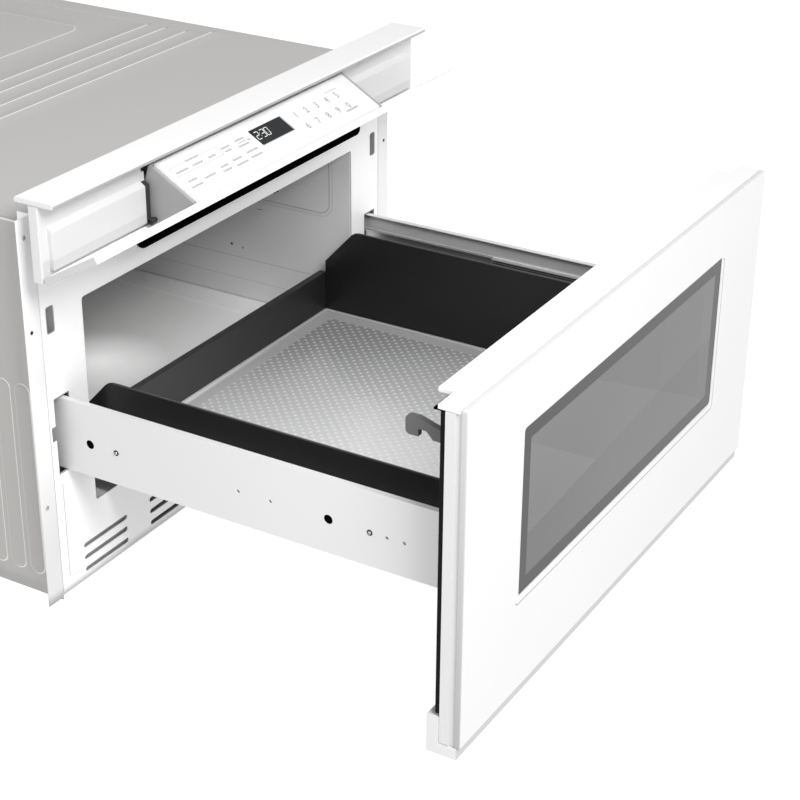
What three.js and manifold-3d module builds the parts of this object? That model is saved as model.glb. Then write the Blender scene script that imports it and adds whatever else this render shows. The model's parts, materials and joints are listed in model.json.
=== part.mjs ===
// A built-in microwave drawer, open, with its control panel tilted out.
// Millimetres. X to the right, Y to the back, Z up. Pieces are drawn from the front plate's face (Y = 0) and
// the base's underside (Z = 0), and the whole is then moved so that the origin is the middle of the base.
// Drawer pieces are drawn as when the drawer is shut, and their group is pulled out by its travel.
// Control panel pieces are drawn shut too, and their group is turned about the panel's hinge pins.
import * as THREE from "three";
import { mergeVertices } from "three/addons/utils/BufferGeometryUtils.js";
import Module from "manifold-3d";

const wasm = await Module();
wasm.setup();

// Fits
const clearance = 0.3; // between pieces that seat on each other
const pinFit = 0.4; // all round a pin in its bore
const overrun = 1; // how far a cutter passes the face it cuts

// Cabinet
const cabinetWidth = 558.8;
const cabinetHeight = 374.3;
const cabinetDepth = 550;
const halfBody = cabinetWidth / 2;
const trimOverhang = 23.8; // door and trim reach this far past each side of the cabinet
const halfTrim = halfBody + trimOverhang;
const cavitySideSpace = 55.9; // beside the oven cavity, for rails and drive
const cavityTopSpace = 89.8; // above it, for waveguide and stirrer motor
const cavityRearSpace = 119; // behind it, for magnetron and fan
const cavityHalf = halfBody - cavitySideSpace;
const railInner = cavityHalf + 26.5;
const cavityFloor = 81.5;
const cavityCeiling = cabinetHeight - cavityTopSpace;
const cavityDepth = cabinetDepth - cavityRearSpace;
const wrapSheet = 1;
const backSheet = 1;
const plateSheet = 1.2; // front plate, base plate and mounting flanges
const returnDepth = 12; // folded edges of base plate and back panel
const frontPlateInset = 0.4; // front plate's side edge inside the wrap's outside
const frontBendRadius = 10;
const frontLipDepth = 2.3;
const beadHeight = 0.8;
const beadWidth = 4;
const beadRoot = 0.4; // how deep a raised bead is rooted in its sheet

// Beads on the cabinet's top
const topBeadPlaces = [229, 257, 281];
const topBeadHalf = halfBody - 33.4;
const frontBeadPlace = 203;
const frontBeadHalf = halfBody - 19.4;
const topFrameFront = 333;
const topFrameRear = cabinetDepth - 35;
const topFrameHalf = halfBody - 79.4;
const topFrameRadius = 24;
const topFrameLine = 3;
const edgeBeadPlace = halfBody - 29.4;
const edgeBeadFront = 311;
const edgeBeadRear = cabinetDepth - 50;

// Pads on the cabinet's sides
const padCount = 4;
const padFirst = 20.4;
const padPitch = 22.4;
const padWidth = 17.2;
const padBottom = 20;
const padTop = 216;

// Front plate's cut-outs
const mouthHalf = cavityHalf + 0.8;
const mouthBottom = cavityFloor - 1;
const mouthTop = cavityCeiling + 1;
const mouthRadius = 3;
const slotMargin = 1.3; // above and below the drawer's side member
const slotInner = railInner + 1.5;
const slotOuter = railInner + 21;
const notchOuter = railInner + 27;
const notchBottom = 164.1;
const notchTop = 178.3;
const latchSlotInner = halfBody - 16.4;
const latchSlotOuter = halfBody - 7.4;
const latchSlotBottom = cabinetHeight - 105.8;
const latchSlotTop = cabinetHeight - 81.5;
const latchSlotRadius = 2;
const louvreRows = [15.5, 28.2, 41];
const louvreGroups = [
  [82, 147],
  [181.5, 246.6],
];
const louvreHeight = 5;
const crestPlace = halfBody - 12.4; // thin pressed line beside the louvres
const crestFoot = halfBody - 24.4;
const crestBottom = 19.5;
const crestTop = 118.5;
const crestWidth = 2;
const crestHeight = 0.5;
const bayBottom = cabinetHeight - 45.3; // opening that the control panel's housing swings through

// Mounting flanges
const flangeWidth = 19.8;
const flangeBottom = 3.8;
const flangeTop = cabinetHeight + 8.2;
const flangeLeg = 15;
const flangeScrewInset = 7.5; // from the flange's outer edge
const flangeScrewHeights = [104.2, cabinetHeight - 96.8, cabinetHeight - 9.4];
const flangeScrewRadius = 2.2;

// Trim above the drawer
const bezelBottom = cabinetHeight - 41.8;
const bezelTop = cabinetHeight + 27.2;
const bezelThickness = 10;
const bezelSideInset = 0.2;
const bayHalf = 160.5;
const bayWideHalf = bayHalf + 4;
const bayWideBottom = cabinetHeight + 14.2;
const bayTop = cabinetHeight + 20.2;
const blockOuter = halfTrim - 10.2;
const blockBottom = cabinetHeight - 31.8;
const blockTop = cabinetHeight + 6.7;
const blockProud = 5.5;
const blockChamfer = 3.5;
const bossPlace = halfBody - 9.4;
const bossWidth = 10;
const bossHeights = [
  [blockBottom + 2.5, blockBottom + 12.5],
  [blockBottom + 19.5, blockBottom + 27.5],
];
const visorHeight = 4.7;
const visorRear = -3;
const visorRadius = 1.5;
const stripHalf = bayHalf + 23.5;
const stripFront = -37;
const stripRear = -33;
const stripBottom = cabinetHeight - 50.6;
const stripTop = cabinetHeight - 43.5;
const stripRadius = stripTop - stripBottom - 0.6;
const stripLeg = 2.2;
const stripRib = 9.5;

// Oven cavity
const cavitySheet = 1;
const cavityFlange = 18.5;
const wallFrameFront = 29;
const wallFrameRear = cavityDepth - 29;
const wallFrameBottom = cavityCeiling - 77;
const wallFrameTop = cavityCeiling - 10.5;
const wallFrameRadius = 12;
const wallFrameLine = 3;
const feedHalf = 40;
const feedFront = 236;
const feedRear = 292;

// Stirrer, its cover, motor and waveguide
const stirrerPlace = 215;
const stirrerRadius = 70;
const stirrerHub = 9;
const stirrerShaft = 3;
const stirrerBlades = 4;
const stirrerBladeWidth = 26;
const stirrerBladeSheet = 1;
const stirrerBladeTilt = 18;
const stirrerHubHeight = 9;
const coverHalf = 90;
const coverDepth = 16.2;
const coverSheet = 1.5;
const coverRadius = 12;
const guideHalf = 50;
const guideFront = 150;
const guideHeight = 40;
const guideFlange = 10;
const stirrerMotorRadius = 24;
const stirrerMotorHeight = 16;
const motorEarReach = 34;
const motorEarHalf = 6;
const motorEarSheet = 2;

// Magnetron, air duct and fan
const tubeHalf = 45;
const tubeFront = cavityDepth + 11;
const tubeRear = tubeFront + 86;
const guideRear = tubeFront + 78;
const tubeHeight = 92;
const tubeYokeSheet = 3;
const finCount = 6;
const finSheet = 2;
const finHalf = 34;
const anodeRadius = 19;
const antennaRadius = 8;
const antennaHeight = 24;
const filterHeight = 26;
const fanPlace = -154;
const fanHeight = cavityCeiling - 52.5;
const fanRadius = 51;
const fanBore = fanRadius + 4;
const fanFrameHalf = fanBore + 5;
const fanFrameCorner = 6;
const fanHub = 14;
const fanBlades = 7;
const fanBladeChord = 22;
const fanBladeSheet = 1.4;
const fanBladePitch = 38;
const fanHubDepth = 14;
const fanFrameDepth = fanHubDepth + 11;
const fanShaft = 3;
const fanRingRadius = 20;
const fanRingDepth = 3;
const fanArms = 3;
const fanArmHalf = 4;
const fanMotorRadius = 18;
const fanMotorDepth = 24;
const ductWall = 1.5;
const ductBottom = cavityCeiling - 100.5;
const ductTop = cavityCeiling - 4.5;
const ductFront = tubeFront + 5;
const ductBevel = 24;
const ductRear = cabinetDepth - 34;
const ductSideInset = 2;

// Transformer, capacitor and power board
const canPlace = halfBody - 53.4;
const coreSpanX = [canPlace - 130, canPlace - 30];
const coreSpanY = [cabinetDepth - 92, cabinetDepth - 22];
const coreHeight = 84;
const coreCoilProud = 12;
const coreCoilInset = 14;
const coreFoot = 10;
const coreFootSheet = 2;
const canSpanY = [cabinetDepth - 80, cabinetDepth - 20];
const canHalf = 15;
const canHeight = 72;
const canLug = 8;
const canLugHalf = 3;
const canLugSheet = 2;
const boardSpanX = [39.4 - halfBody, 175.4 - halfBody];
const boardSpanY = [cabinetDepth - 104, cabinetDepth - 12];
const boardSheet = 1.6;
const boardLift = 8;
const boardPost = 4;
const boardPostInset = 8;
const sinkHeight = 34;
const sinkFins = 6;
const sinkFinPitch = 7;
const sinkFinSheet = 2;
const sinkFootSheet = 4;
const sinkFromLeft = 24;
const sinkFromFront = 16;
const sinkFromRear = 24;
const relaySize = 24;
const relayHeight = 17;
const relayInset = 16;
const boardCanRadius = 8;

// Stand, lamp and cord bushing
const standHalf = 150;
const standSpanY = [cavityDepth - 39, cavityDepth - 7];
const standSheet = 1.5;
const lampSpanY = [cavityDepth - 59, cavityDepth - 19];
const lampReach = 21;
const lampSheet = 1.5;
const lampRadius = 9;
const lampHoleRadius = 1.6;
const lampHolePitch = 7;
const bushingPlace = halfBody - 73.4;
const bushingHeight = 40;
const bushingHole = 9;
const bushingFlange = 13;
const bushingBore = 5;
const bushingDepth = 5;

// Vents in base plate and back panel
const ventWidth = 5;
const baseVentCount = 6;
const baseVentPitch = 21;
const baseVentFirst = 80;
const baseVentSpan = [70, 130];
const backVentCount = 6;
const backVentPitch = 16;
const backVentHalf = 44;
const backVentPlaces = [fanPlace, 140];

// Rails, from the fixed bar outwards
const railBar = 3.2;
const railHeight = 37.2;
const railCentre = 167.1;
const railFront = 8;
const railRear = cabinetDepth - 80;
const railShelf = 3;
const railFootHeight = 34;
const railFootSheet = 1.5;
const railFeet = [
  [102, 150],
  [cavityDepth - 59, cavityDepth - 11],
];
const middleSheet = 1.2;
const middleLip = railBar - 1.5;
const middleFront = 36.5;
const middleRear = railRear - 26.5;
const drawerBar = 5.5;
const drawerBarHeight = railHeight - 3.2;

// Drawer side members
const memberSheet = 1.2;
const memberFlange = 5.5;
const memberHeight = 71.5;
const memberRear = railRear - 5;
const memberHoleHeight = 163.5;
const memberHoles = [
  [357.5, 4.5],
  [107, 4.5],
  [197.4, 1.5],
  [164.6, 1.5],
  [50, 1.5],
  [33.5, 1.5],
];

// Drive: rack on the right member, pinion and geared motor on the cavity
const gearModule = 2;
const pinionTeeth = 18;
const pinionPlace = 60;
const rackWidth = 8;
const rackFront = 42;
const rackRear = memberRear - 3;
const rackBacking = 6.9;
const toothFlank = 20; // pressure angle
const toothPlay = 0.35;
const toothRoot = 1.25; // depth below the pitch line, in modules
const toothRootSpread = 1.45; // of a tooth's half angle at the pitch circle
const toothTipSpread = 0.52;
const driveShaft = 3.6;
const gearboxHalf = 22;
const gearboxCorner = 5;
const motorCan = 11;
const motorCanLength = 58;
const motorCanDrop = 10;
const motorPlateHalf = 30;
const motorPlateHeight = [88, 142];
const motorPlateSheet = 1.5;

// Tub
const tubWallInner = cavityHalf - 14;
const tubWallSheet = 2;
const tubWallTop = 200.2;
const tubFloorHalf = cavityHalf - 10.5;
const tubFloorBottom = 96;
const tubFloorDepth = 3.2;
const tubFloorSheet = 1.2;
const tubRear = cavityDepth - 19.3; // front face of the rear wall
const tubRearHeight = 146;
const tubRearReturn = 6;
const tubRearReturnSheet = 1;
const tubShoulderHeight = 159.5;
const tubShoulderRun = 33;
const tubShoulderTop = tubWallTop - 4.7;
const tubTopRun = 45;
const tubFilletSteps = 5;
const tubSlotRadius = 3;
const tubSlotPlace = tubRear - 9.7;
const tubSlotSpan = [125, 140];
const traySheet = 3;
const trayRim = 4;
const trayRimHeight = 1;
const trayRadius = 5;

// Door, from the front plate forwards
const drawerTravel = railRear - 83;
const doorStandoff = 8;
const chokeDepth = 12.3;
const chokeHalf = halfBody - 3.4;
const chokeBottom = 52;
const chokeTop = cabinetHeight - 62.3;
const innerPlateSheet = 4.1;
const innerPlateBottom = 41.5;
const innerPlateTop = cabinetHeight - 56.3;
const innerPlateInset = 0.6;
const chokeSheet = 2.2;
const doorCorner = 1;
const frameDepth = 13;
const frameBottom = 12.9;
const frameTop = cabinetHeight - 56.2;
const frameSheet = 1.2;
const grooveWidth = 4.2;
const grooveDepth = 2;
const facePlateDepth = 6;
const facePlateSheet = 2;
const capSheet = 4.1;
const faceTop = frameTop + clearance + capSheet;
const faceBevel = 1;
const windowHalf = halfTrim - 97.2;
const windowBottom = 107.5;
const windowTop = cabinetHeight - 109.8;
const windowRadius = 3;
const windowBorder = 13; // printed margin round the sight opening
const windowGlassSheet = 4;
const windowRecess = 1.2;
const sightHalf = windowHalf - windowBorder;
const sightBottom = windowBottom + windowBorder;
const sightTop = windowTop - windowBorder;
const screenLap = 5;
const screenSheet = 1;
const screenSeat = 2.5;
const innerGlassSheet = 3;
const innerGlassLap = 4;
const bottomTrimBottom = 1.5;
const bottomTrimSplit = frameBottom - clearance;
const bottomTrimTop = innerPlateBottom - 3;
const bottomTrimRear = -12.7;
const bottomTrimFront = -41;
const capRear = -4;
const capEndRear = -18;
const capEndPlace = chokeHalf + 2;

// Latches
const latchInner = latchSlotInner + 1.5;
const latchOuter = latchSlotOuter - 1.5;
const latchBarBottom = latchSlotBottom + 1.5;
const latchBarTop = latchSlotBottom + 11.1;
const latchHeadTop = latchSlotBottom + 18.5;
const latchHeadFront = 17;
const latchHeadRear = 29;
const latchNeck = latchSlotBottom + 8;
const latchNeckStart = 4;
const latchNeckRun = 6;
const latchTipRadius = 4;
const switchSpanX = [latchSlotInner - 9, latchSlotOuter + 6];
const switchSpanZ = [latchSlotBottom - 6.5, latchSlotTop + 7.2];
const switchRear = 60;
const switchGap = 1.5;
const switchWall = 1.5; // from the latch slot's edge to the block's cheek

// Control panel, drawn shut
const tiltAngle = 60;
const tiltSetback = 8.5; // hinge axis behind the fascia's face
const tiltRise = 9.7; // hinge axis above the fascia's lower edge
const fasciaBottom = bezelBottom + 2;
const fasciaTop = bezelTop - 2;
const fasciaDepth = 7;
const fasciaSheet = 1.2;
const housingHalf = bayHalf - 2;
const housingFoot = fasciaBottom + 3;
const housingKeelRear = -20;
const housingHeelRear = -8;
const housingHeel = fasciaBottom + 10.5;
const housingRim = 1.2;
const housingTailDrop = 3.6;
const glassHalf = housingHalf - 3.5;
const glassLength = 53.6;
const glassSheet = 2;
const glassFrontSetback = 7;
const glassFrontDrop = 6.3; // glass's front edge below the fascia's upper edge
const glassSlope = 30.25; // glass falls towards the back by this angle, in degrees
const glassRadius = 3;
const lensSpanX = [-24.5, 27];
const lensSpan = [21, 41.2];
const lensRadius = 1;
const boardLedge = 3;
const boardRecess = 3.4;
const boardWellDepth = 10;
const hingePinRadius = 1.5;
const hingePinInner = housingHalf - 8.5;
const hingePinOuter = bayHalf + 5.5;
const hingeEarRadius = 2.8;

// Facets
const cornerSteps = 4;
const beadSteps = 2;
const roundSteps = 20;
const smallRoundSteps = 10;
const shaftSteps = 16;

// Places that follow from the sizes above
const wrapInner = halfBody - wrapSheet;
const backInner = cabinetDepth - backSheet;
const wrapFront = plateSheet + clearance;
const wrapRear = backInner - clearance;
const lampSpanZ = [railCentre + 46.9, railCentre + 88.9];
const chokeRear = -doorStandoff;
const chokeFront = chokeRear - chokeDepth;
const innerPlateFront = chokeFront - innerPlateSheet;
const frameRear = innerPlateFront - clearance;
const frameFront = frameRear - frameDepth;
const faceRear = frameFront - clearance;
const faceFront = faceRear - facePlateDepth;
const drawerFront = chokeRear + clearance; // front ends of what the door carries
const tiltPlaceY = faceFront + tiltSetback;
const tiltPlaceZ = fasciaBottom + tiltRise;
const bezelFront = frameFront + 10.7; // behind the face of the shut door
const bezelRear = bezelFront + bezelThickness;
const cavityOuter = cavityHalf + cavitySheet;
const cavityTopOuter = cavityCeiling + cavitySheet;
const middleInner = railInner + railBar + clearance;
const barInner = middleInner + middleSheet + clearance;
const barOuter = barInner + drawerBar;
const memberInner = barOuter + clearance;
const memberOuter = memberInner + memberSheet;
const rackPitchHeight = railCentre - railHeight / 2 - 12.9;
const memberBottom = rackPitchHeight - 4.4;
const memberTop = memberBottom + memberHeight;
const tubBase = tubFloorBottom + tubFloorDepth + clearance;
const tubWallRear = tubRear - clearance;
const tubWallOuter = tubWallInner + tubWallSheet;
const pitchRadius = (gearModule * pinionTeeth) / 2;
const pinionAxis = rackPitchHeight - pitchRadius;
const toothPitch = Math.PI * gearModule;
const rackOuter = barOuter;
const rackInner = rackOuter - rackWidth;
const pinionWidth = memberOuter - memberFlange - clearance - rackInner;

// Small drawing kit

const radians = THREE.MathUtils.degToRad;
const both = [
  ["left", -1],
  ["right", 1],
];
const fullTurn = 360;
const samePoint = 1e-6;
const weld = 1e-4;

// A closed three.js geometry as a solid that can be joined to others and cut.
function solid(geometry) {
  const bare = geometry.clone();
  bare.deleteAttribute("normal");
  bare.deleteAttribute("uv");
  const merged = mergeVertices(bare, weld);
  const corners = [];
  for (let i = 0; i < merged.index.count; i += 3) {
    const [a, b, c] = merged.index.array.slice(i, i + 3);
    if (a !== b && b !== c && c !== a) corners.push(a, b, c);
  }
  const mesh = new wasm.Mesh({
    numProp: 3,
    vertProperties: merged.attributes.position.array,
    triVerts: new Uint32Array(corners),
  });
  return new wasm.Manifold(mesh);
}

function join(...solids) {
  return solids.reduce((whole, next) => whole.add(next));
}

function cut(whole, ...tools) {
  return tools.reduce((left, tool) => left.subtract(tool), whole);
}

// A box between two values on each axis, given in either order.
function block(...spans) {
  const size = spans.map(([a, b]) => Math.abs(b - a));
  const middle = spans.map(([a, b]) => (a + b) / 2);
  return solid(new THREE.BoxGeometry(...size).translate(...middle));
}

function mirrored(side, [a, b]) {
  return [side * a, side * b];
}

// Points of an arc, its angles in degrees.
function arc([a, b], radius, from, to, steps = cornerSteps) {
  return Array.from({ length: steps + 1 }, (_, i) => {
    const angle = radians(from + ((to - from) * i) / steps);
    return [a + radius * Math.cos(angle), b + radius * Math.sin(angle)];
  });
}

function distinct(points) {
  return points.filter(([a, b], i) => {
    const [c, d] = points.at(i - 1);
    return Math.hypot(a - c, b - d) > samePoint;
  });
}

function outline(points, ...holes) {
  const vectors = (list) => distinct(list).map(([a, b]) => new THREE.Vector2(a, b));
  const shape = new THREE.Shape(vectors(points));
  shape.holes = holes.map((hole) => new THREE.Path(vectors(hole)));
  return shape;
}

function rounded(spanA, spanB, radius, steps = cornerSteps) {
  const [a0, a1] = [Math.min(...spanA) + radius, Math.max(...spanA) - radius];
  const [b0, b1] = [Math.min(...spanB) + radius, Math.max(...spanB) - radius];
  return [
    ...arc([a1, b0], radius, -90, 0, steps),
    ...arc([a1, b1], radius, 0, 90, steps),
    ...arc([a0, b1], radius, 90, 180, steps),
    ...arc([a0, b0], radius, 180, 270, steps),
  ];
}

// A long hole or bead with round ends.
function stadium(spanA, spanB) {
  const widths = [spanA, spanB].map(([a, b]) => Math.abs(b - a));
  return rounded(spanA, spanB, Math.min(...widths) / 2, beadSteps);
}

function circle(centre, radius, steps = roundSteps) {
  return arc(centre, radius, 0, fullTurn - fullTurn / steps, steps - 1);
}

// A profile drawn in (y, z), (x, z) or (x, y) and carried along X, Y or Z between two values.
function prism(shape, axis, span, bevel = 0) {
  const along = {
    x: [new THREE.Vector3(0, 1, 0), new THREE.Vector3(0, 0, 1), new THREE.Vector3(1, 0, 0)],
    y: [new THREE.Vector3(1, 0, 0), new THREE.Vector3(0, 0, 1), new THREE.Vector3(0, -1, 0)],
    z: [new THREE.Vector3(1, 0, 0), new THREE.Vector3(0, 1, 0), new THREE.Vector3(0, 0, 1)],
  }[axis];
  const [low, high] = [Math.min(...span), Math.max(...span)];
  const form = shape instanceof THREE.Shape ? shape : outline(shape);
  const geometry = new THREE.ExtrudeGeometry(form, {
    depth: high - low - 2 * bevel,
    bevelEnabled: bevel > 0,
    bevelThickness: bevel,
    bevelSize: bevel,
    bevelOffset: -bevel,
    bevelSegments: 2,
  });
  geometry.translate(0, 0, bevel);
  geometry.applyMatrix4(new THREE.Matrix4().makeBasis(...along));
  const start = axis === "y" ? along[2].clone().multiplyScalar(-high) : along[2].clone().multiplyScalar(low);
  return solid(geometry.translate(start.x, start.y, start.z));
}

function rod(axis, radius, span, centre, steps = shaftSteps) {
  return prism(circle(centre, radius, steps), axis, span);
}

// A closed line of even width along a rounded rectangle.
function frameLine(spanA, spanB, radius, width) {
  const inner = ([a, b]) => [Math.min(a, b) + width, Math.max(a, b) - width];
  return outline(rounded(spanA, spanB, radius), rounded(inner(spanA), inner(spanB), radius - width));
}

function finish(color, roughness, metalness) {
  return () => new THREE.MeshStandardMaterial({ color, roughness, metalness });
}

const whitePaint = finish(0xf1f1ef, 0.35, 0);
const galvanised = finish(0xb9b6ae, 0.42, 0.9);
const blackEnamel = finish(0x17181a, 0.38, 0);
const brightSteel = finish(0xc6c8ca, 0.25, 1);
const greyEnamel = finish(0xc4c4c2, 0.45, 0.1);
const clearGlass = finish(0xdfe3e2, 0.12, 0);
const windowTint = finish(0x6c6e70, 0.15, 0);
const whiteGlass = finish(0xf3f3f2, 0.12, 0);
const displayBlack = finish(0x1b2023, 0.15, 0);
const blackPlastic = finish(0x1d1e20, 0.5, 0);
const greyPlastic = finish(0x8c8e8f, 0.55, 0);
const aluminium = finish(0xb8babc, 0.4, 0.9);
const copper = finish(0xa8663c, 0.4, 0.9);
const brass = finish(0xb59a55, 0.4, 0.9);
const boardGreen = finish(0x2f5b40, 0.6, 0);
const mica = finish(0xb9a88a, 0.7, 0);
const rubber = finish(0x161616, 0.8, 0);

function add(group, name, whole, material) {
  const { numProp, vertProperties, triVerts } = whole.getMesh();
  const geometry = new THREE.BufferGeometry();
  const corners = new THREE.BufferAttribute(new Float32Array(vertProperties), numProp);
  geometry.setAttribute("position", corners);
  geometry.setIndex(new THREE.BufferAttribute(new Uint32Array(triVerts), 1));
  const faceted = geometry.toNonIndexed();
  faceted.computeVertexNormals();
  const mesh = new THREE.Mesh(faceted, material());
  mesh.name = name;
  group.add(mesh);
}

// Cabinet

// Sheet folded over top and sides, open below, with pressed beads.
function outerWrap() {
  const length = [wrapFront, wrapRear];
  const proud = [cabinetHeight - beadRoot, cabinetHeight + beadHeight];
  const acrossBead = (place, half) => {
    const line = stadium([-half, half], [place - beadWidth / 2, place + beadWidth / 2]);
    return prism(line, "z", proud);
  };
  const sheet = cut(
    block([-halfBody, halfBody], length, [0, cabinetHeight]),
    block([-wrapInner, wrapInner], [0, cabinetDepth], [-overrun, cabinetHeight - wrapSheet]),
    block(
      [-bayHalf, bayHalf],
      [0, bayNotchRear()],
      [cabinetHeight - wrapSheet - overrun, cabinetHeight + overrun],
    ),
  );
  const frame = frameLine(
    [-topFrameHalf, topFrameHalf],
    [topFrameFront, topFrameRear],
    topFrameRadius,
    topFrameLine,
  );
  const beads = [
    ...topBeadPlaces.map((place) => acrossBead(place, topBeadHalf)),
    acrossBead(frontBeadPlace, frontBeadHalf),
    prism(frame, "z", proud),
  ];
  for (const [, side] of both) {
    const middle = side * edgeBeadPlace;
    const line = stadium([middle - beadWidth / 2, middle + beadWidth / 2], [edgeBeadFront, edgeBeadRear]);
    beads.push(prism(line, "z", proud));
    for (let i = 0; i < padCount; i += 1) {
      const front = padFirst + i * padPitch;
      const pad = stadium([front, front + padWidth], [padBottom, padTop]);
      beads.push(prism(pad, "x", mirrored(side, [halfBody - beadRoot, halfBody + beadHeight])));
    }
  }
  return join(sheet, ...beads);
}

// How far back the housing's tail sweeps at the height of the wrap's top sheet.
function bayNotchRear() {
  const tail = glassPoint(glassLength + housingRim, 0);
  const reach = Math.hypot(tail[0] - tiltPlaceY, tail[1] - tiltPlaceZ);
  const rise = cabinetHeight - wrapSheet - tiltPlaceZ;
  return tiltPlaceY + Math.sqrt(reach * reach - rise * rise) + overrun;
}

function basePlate() {
  const lipRear = frontBendRadius + frontLipDepth;
  const outer = wrapInner - clearance;
  const length = [lipRear + clearance, wrapRear];
  const pan = cut(
    block([-outer, outer], length, [0, returnDepth]),
    block([plateSheet - outer, outer - plateSheet], [0, cabinetDepth], [plateSheet, returnDepth + overrun]),
  );
  const vents = [];
  for (const [, side] of both) {
    for (let i = 0; i < baseVentCount; i += 1) {
      const inner = side * (baseVentFirst + i * baseVentPitch);
      const slot = stadium([inner, inner + side * ventWidth], baseVentSpan);
      vents.push(prism(slot, "z", [-overrun, plateSheet + overrun]));
    }
  }
  return cut(pan, ...vents);
}

function backPanel() {
  const returnTop = cabinetHeight - wrapSheet - clearance;
  const inner = wrapInner - clearance;
  const sheet = block([-halfBody, halfBody], [backInner, cabinetDepth], [0, cabinetHeight]);
  const fold = cut(
    block([-inner, inner], [backInner - returnDepth, backInner], [returnDepth + plateSheet, returnTop]),
    block(
      [backSheet - inner, inner - backSheet],
      [backInner - returnDepth - overrun, backInner],
      [0, returnTop - backSheet],
    ),
  );
  const through = [backInner - overrun, cabinetDepth + overrun];
  const cuts = [rod("y", bushingHole, through, [bushingPlace, bushingHeight], roundSteps)];
  for (const place of backVentPlaces) {
    for (let i = 0; i < backVentCount; i += 1) {
      const height = fanHeight + (i - (backVentCount - 1) / 2) * backVentPitch;
      const spanX = [place - backVentHalf, place + backVentHalf];
      const spanZ = [height - ventWidth / 2, height + ventWidth / 2];
      cuts.push(prism(stadium(spanX, spanZ), "y", through));
    }
  }
  return cut(join(sheet, fold), ...cuts);
}

// Front plate: its lower edge is rolled back to the base, and it is cut for oven, rails, latches and air.
function frontPlate() {
  const half = halfBody - frontPlateInset;
  const bend = [frontBendRadius, frontBendRadius];
  const lip = frontBendRadius + frontLipDepth;
  const section = [
    [0, cabinetHeight],
    ...arc(bend, frontBendRadius, 180, 270),
    [lip, 0],
    [lip, plateSheet],
    ...arc(bend, frontBendRadius - plateSheet, 270, 180),
    [plateSheet, cabinetHeight],
  ];
  const through = [-overrun, plateSheet + overrun];
  const slotSpan = [memberBottom - slotMargin, memberTop + slotMargin];
  const cuts = [
    prism(rounded([-mouthHalf, mouthHalf], [mouthBottom, mouthTop], mouthRadius), "y", through),
    block([-bayHalf - clearance, bayHalf + clearance], through, [bayBottom, cabinetHeight + overrun]),
  ];
  const lines = [];
  for (const [, side] of both) {
    cuts.push(block(mirrored(side, [slotInner, slotOuter]), through, slotSpan));
    cuts.push(block(mirrored(side, [slotInner, notchOuter]), through, [notchBottom, notchTop]));
    const latchRise = [latchSlotBottom, latchSlotTop];
    const latchSlot = rounded(mirrored(side, [latchSlotInner, latchSlotOuter]), latchRise, latchSlotRadius);
    cuts.push(prism(latchSlot, "y", through));
    const besideBend = mirrored(side, [wrapInner - clearance, halfBody + overrun]);
    cuts.push(block(besideBend, [plateSheet, lip + overrun], [-overrun, frontBendRadius + overrun]));
    for (const height of louvreRows) {
      for (const group of louvreGroups) {
        const span = [height - louvreHeight / 2, height + louvreHeight / 2];
        cuts.push(prism(stadium(mirrored(side, group), span), "y", through));
      }
    }
    const upright = stadium(mirrored(side, [crestPlace, crestPlace + crestWidth]), [crestBottom, crestTop]);
    const foot = stadium(
      mirrored(side, [crestFoot, crestPlace + crestWidth]),
      [crestBottom, crestBottom + crestWidth],
    );
    lines.push(prism(upright, "y", [-crestHeight, beadRoot]), prism(foot, "y", [-crestHeight, beadRoot]));
  }
  return join(cut(prism(section, "x", [-half, half]), ...cuts), ...lines);
}

// Angle strip that screws the cabinet to the furniture around it.
function mountingFlange(side) {
  const inner = halfBody + clearance;
  const outer = inner + flangeWidth;
  const section = [
    [side * inner, 0],
    [side * outer, 0],
    [side * outer, plateSheet],
    [side * (inner + plateSheet), plateSheet],
    [side * (inner + plateSheet), flangeLeg],
    [side * inner, flangeLeg],
  ];
  const through = [-overrun, plateSheet + overrun];
  const holePlace = side * (outer - flangeScrewInset);
  const holes = flangeScrewHeights.map((height) =>
    rod("y", flangeScrewRadius, through, [holePlace, height], smallRoundSteps),
  );
  return cut(prism(section, "z", [flangeBottom, flangeTop]), ...holes);
}

function topVisor() {
  const bottom = bezelTop + clearance;
  const section = rounded([faceFront, visorRear], [bottom, bottom + visorHeight], visorRadius, 3);
  return prism(section, "x", [-halfTrim, halfTrim]);
}

// Moulded bezel round the control panel's bay, with the hinge ears and the bosses that hold it off the plate.
function bezel() {
  const half = halfTrim - bezelSideInset;
  const web = [bezelFront, bezelRear];
  const blockFront = bezelFront - blockProud;
  const section = [
    [bezelRear - overrun, blockBottom],
    [bezelRear - overrun, blockTop],
    [bezelFront, blockTop],
    [blockFront, blockTop - blockChamfer],
    [blockFront, blockBottom],
  ];
  const solids = [block([-half, half], web, [bezelBottom, bezelTop])];
  const bores = [];
  for (const [, side] of both) {
    const inner = side * bayHalf;
    solids.push(prism(section, "x", [inner, side * blockOuter]));
    for (const span of bossHeights) {
      const middle = side * bossPlace;
      const boss = [middle - bossWidth / 2, middle + bossWidth / 2];
      solids.push(block(boss, [bezelRear - overrun, -clearance], span));
    }
    solids.push(rod("x", hingeEarRadius, [inner, side * hingePinOuter], [tiltPlaceY, tiltPlaceZ]));
    const root = [tiltPlaceY, bezelFront + overrun];
    const rise = [tiltPlaceZ - hingeEarRadius, tiltPlaceZ + hingeEarRadius];
    solids.push(block([inner, side * hingePinOuter], root, rise));
    const bore = [side * (bayHalf - overrun), side * (hingePinOuter + overrun)];
    bores.push(rod("x", hingePinRadius + clearance, bore, [tiltPlaceY, tiltPlaceZ], smallRoundSteps));
  }
  const deep = [blockFront - overrun, bezelRear + overrun];
  const bay = [
    block([-bayHalf, bayHalf], deep, [bezelBottom - overrun, bayTop]),
    block([-bayWideHalf, bayWideHalf], deep, [bayWideBottom, bayTop]),
  ];
  return cut(join(...solids), ...bay, ...bores);
}

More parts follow.
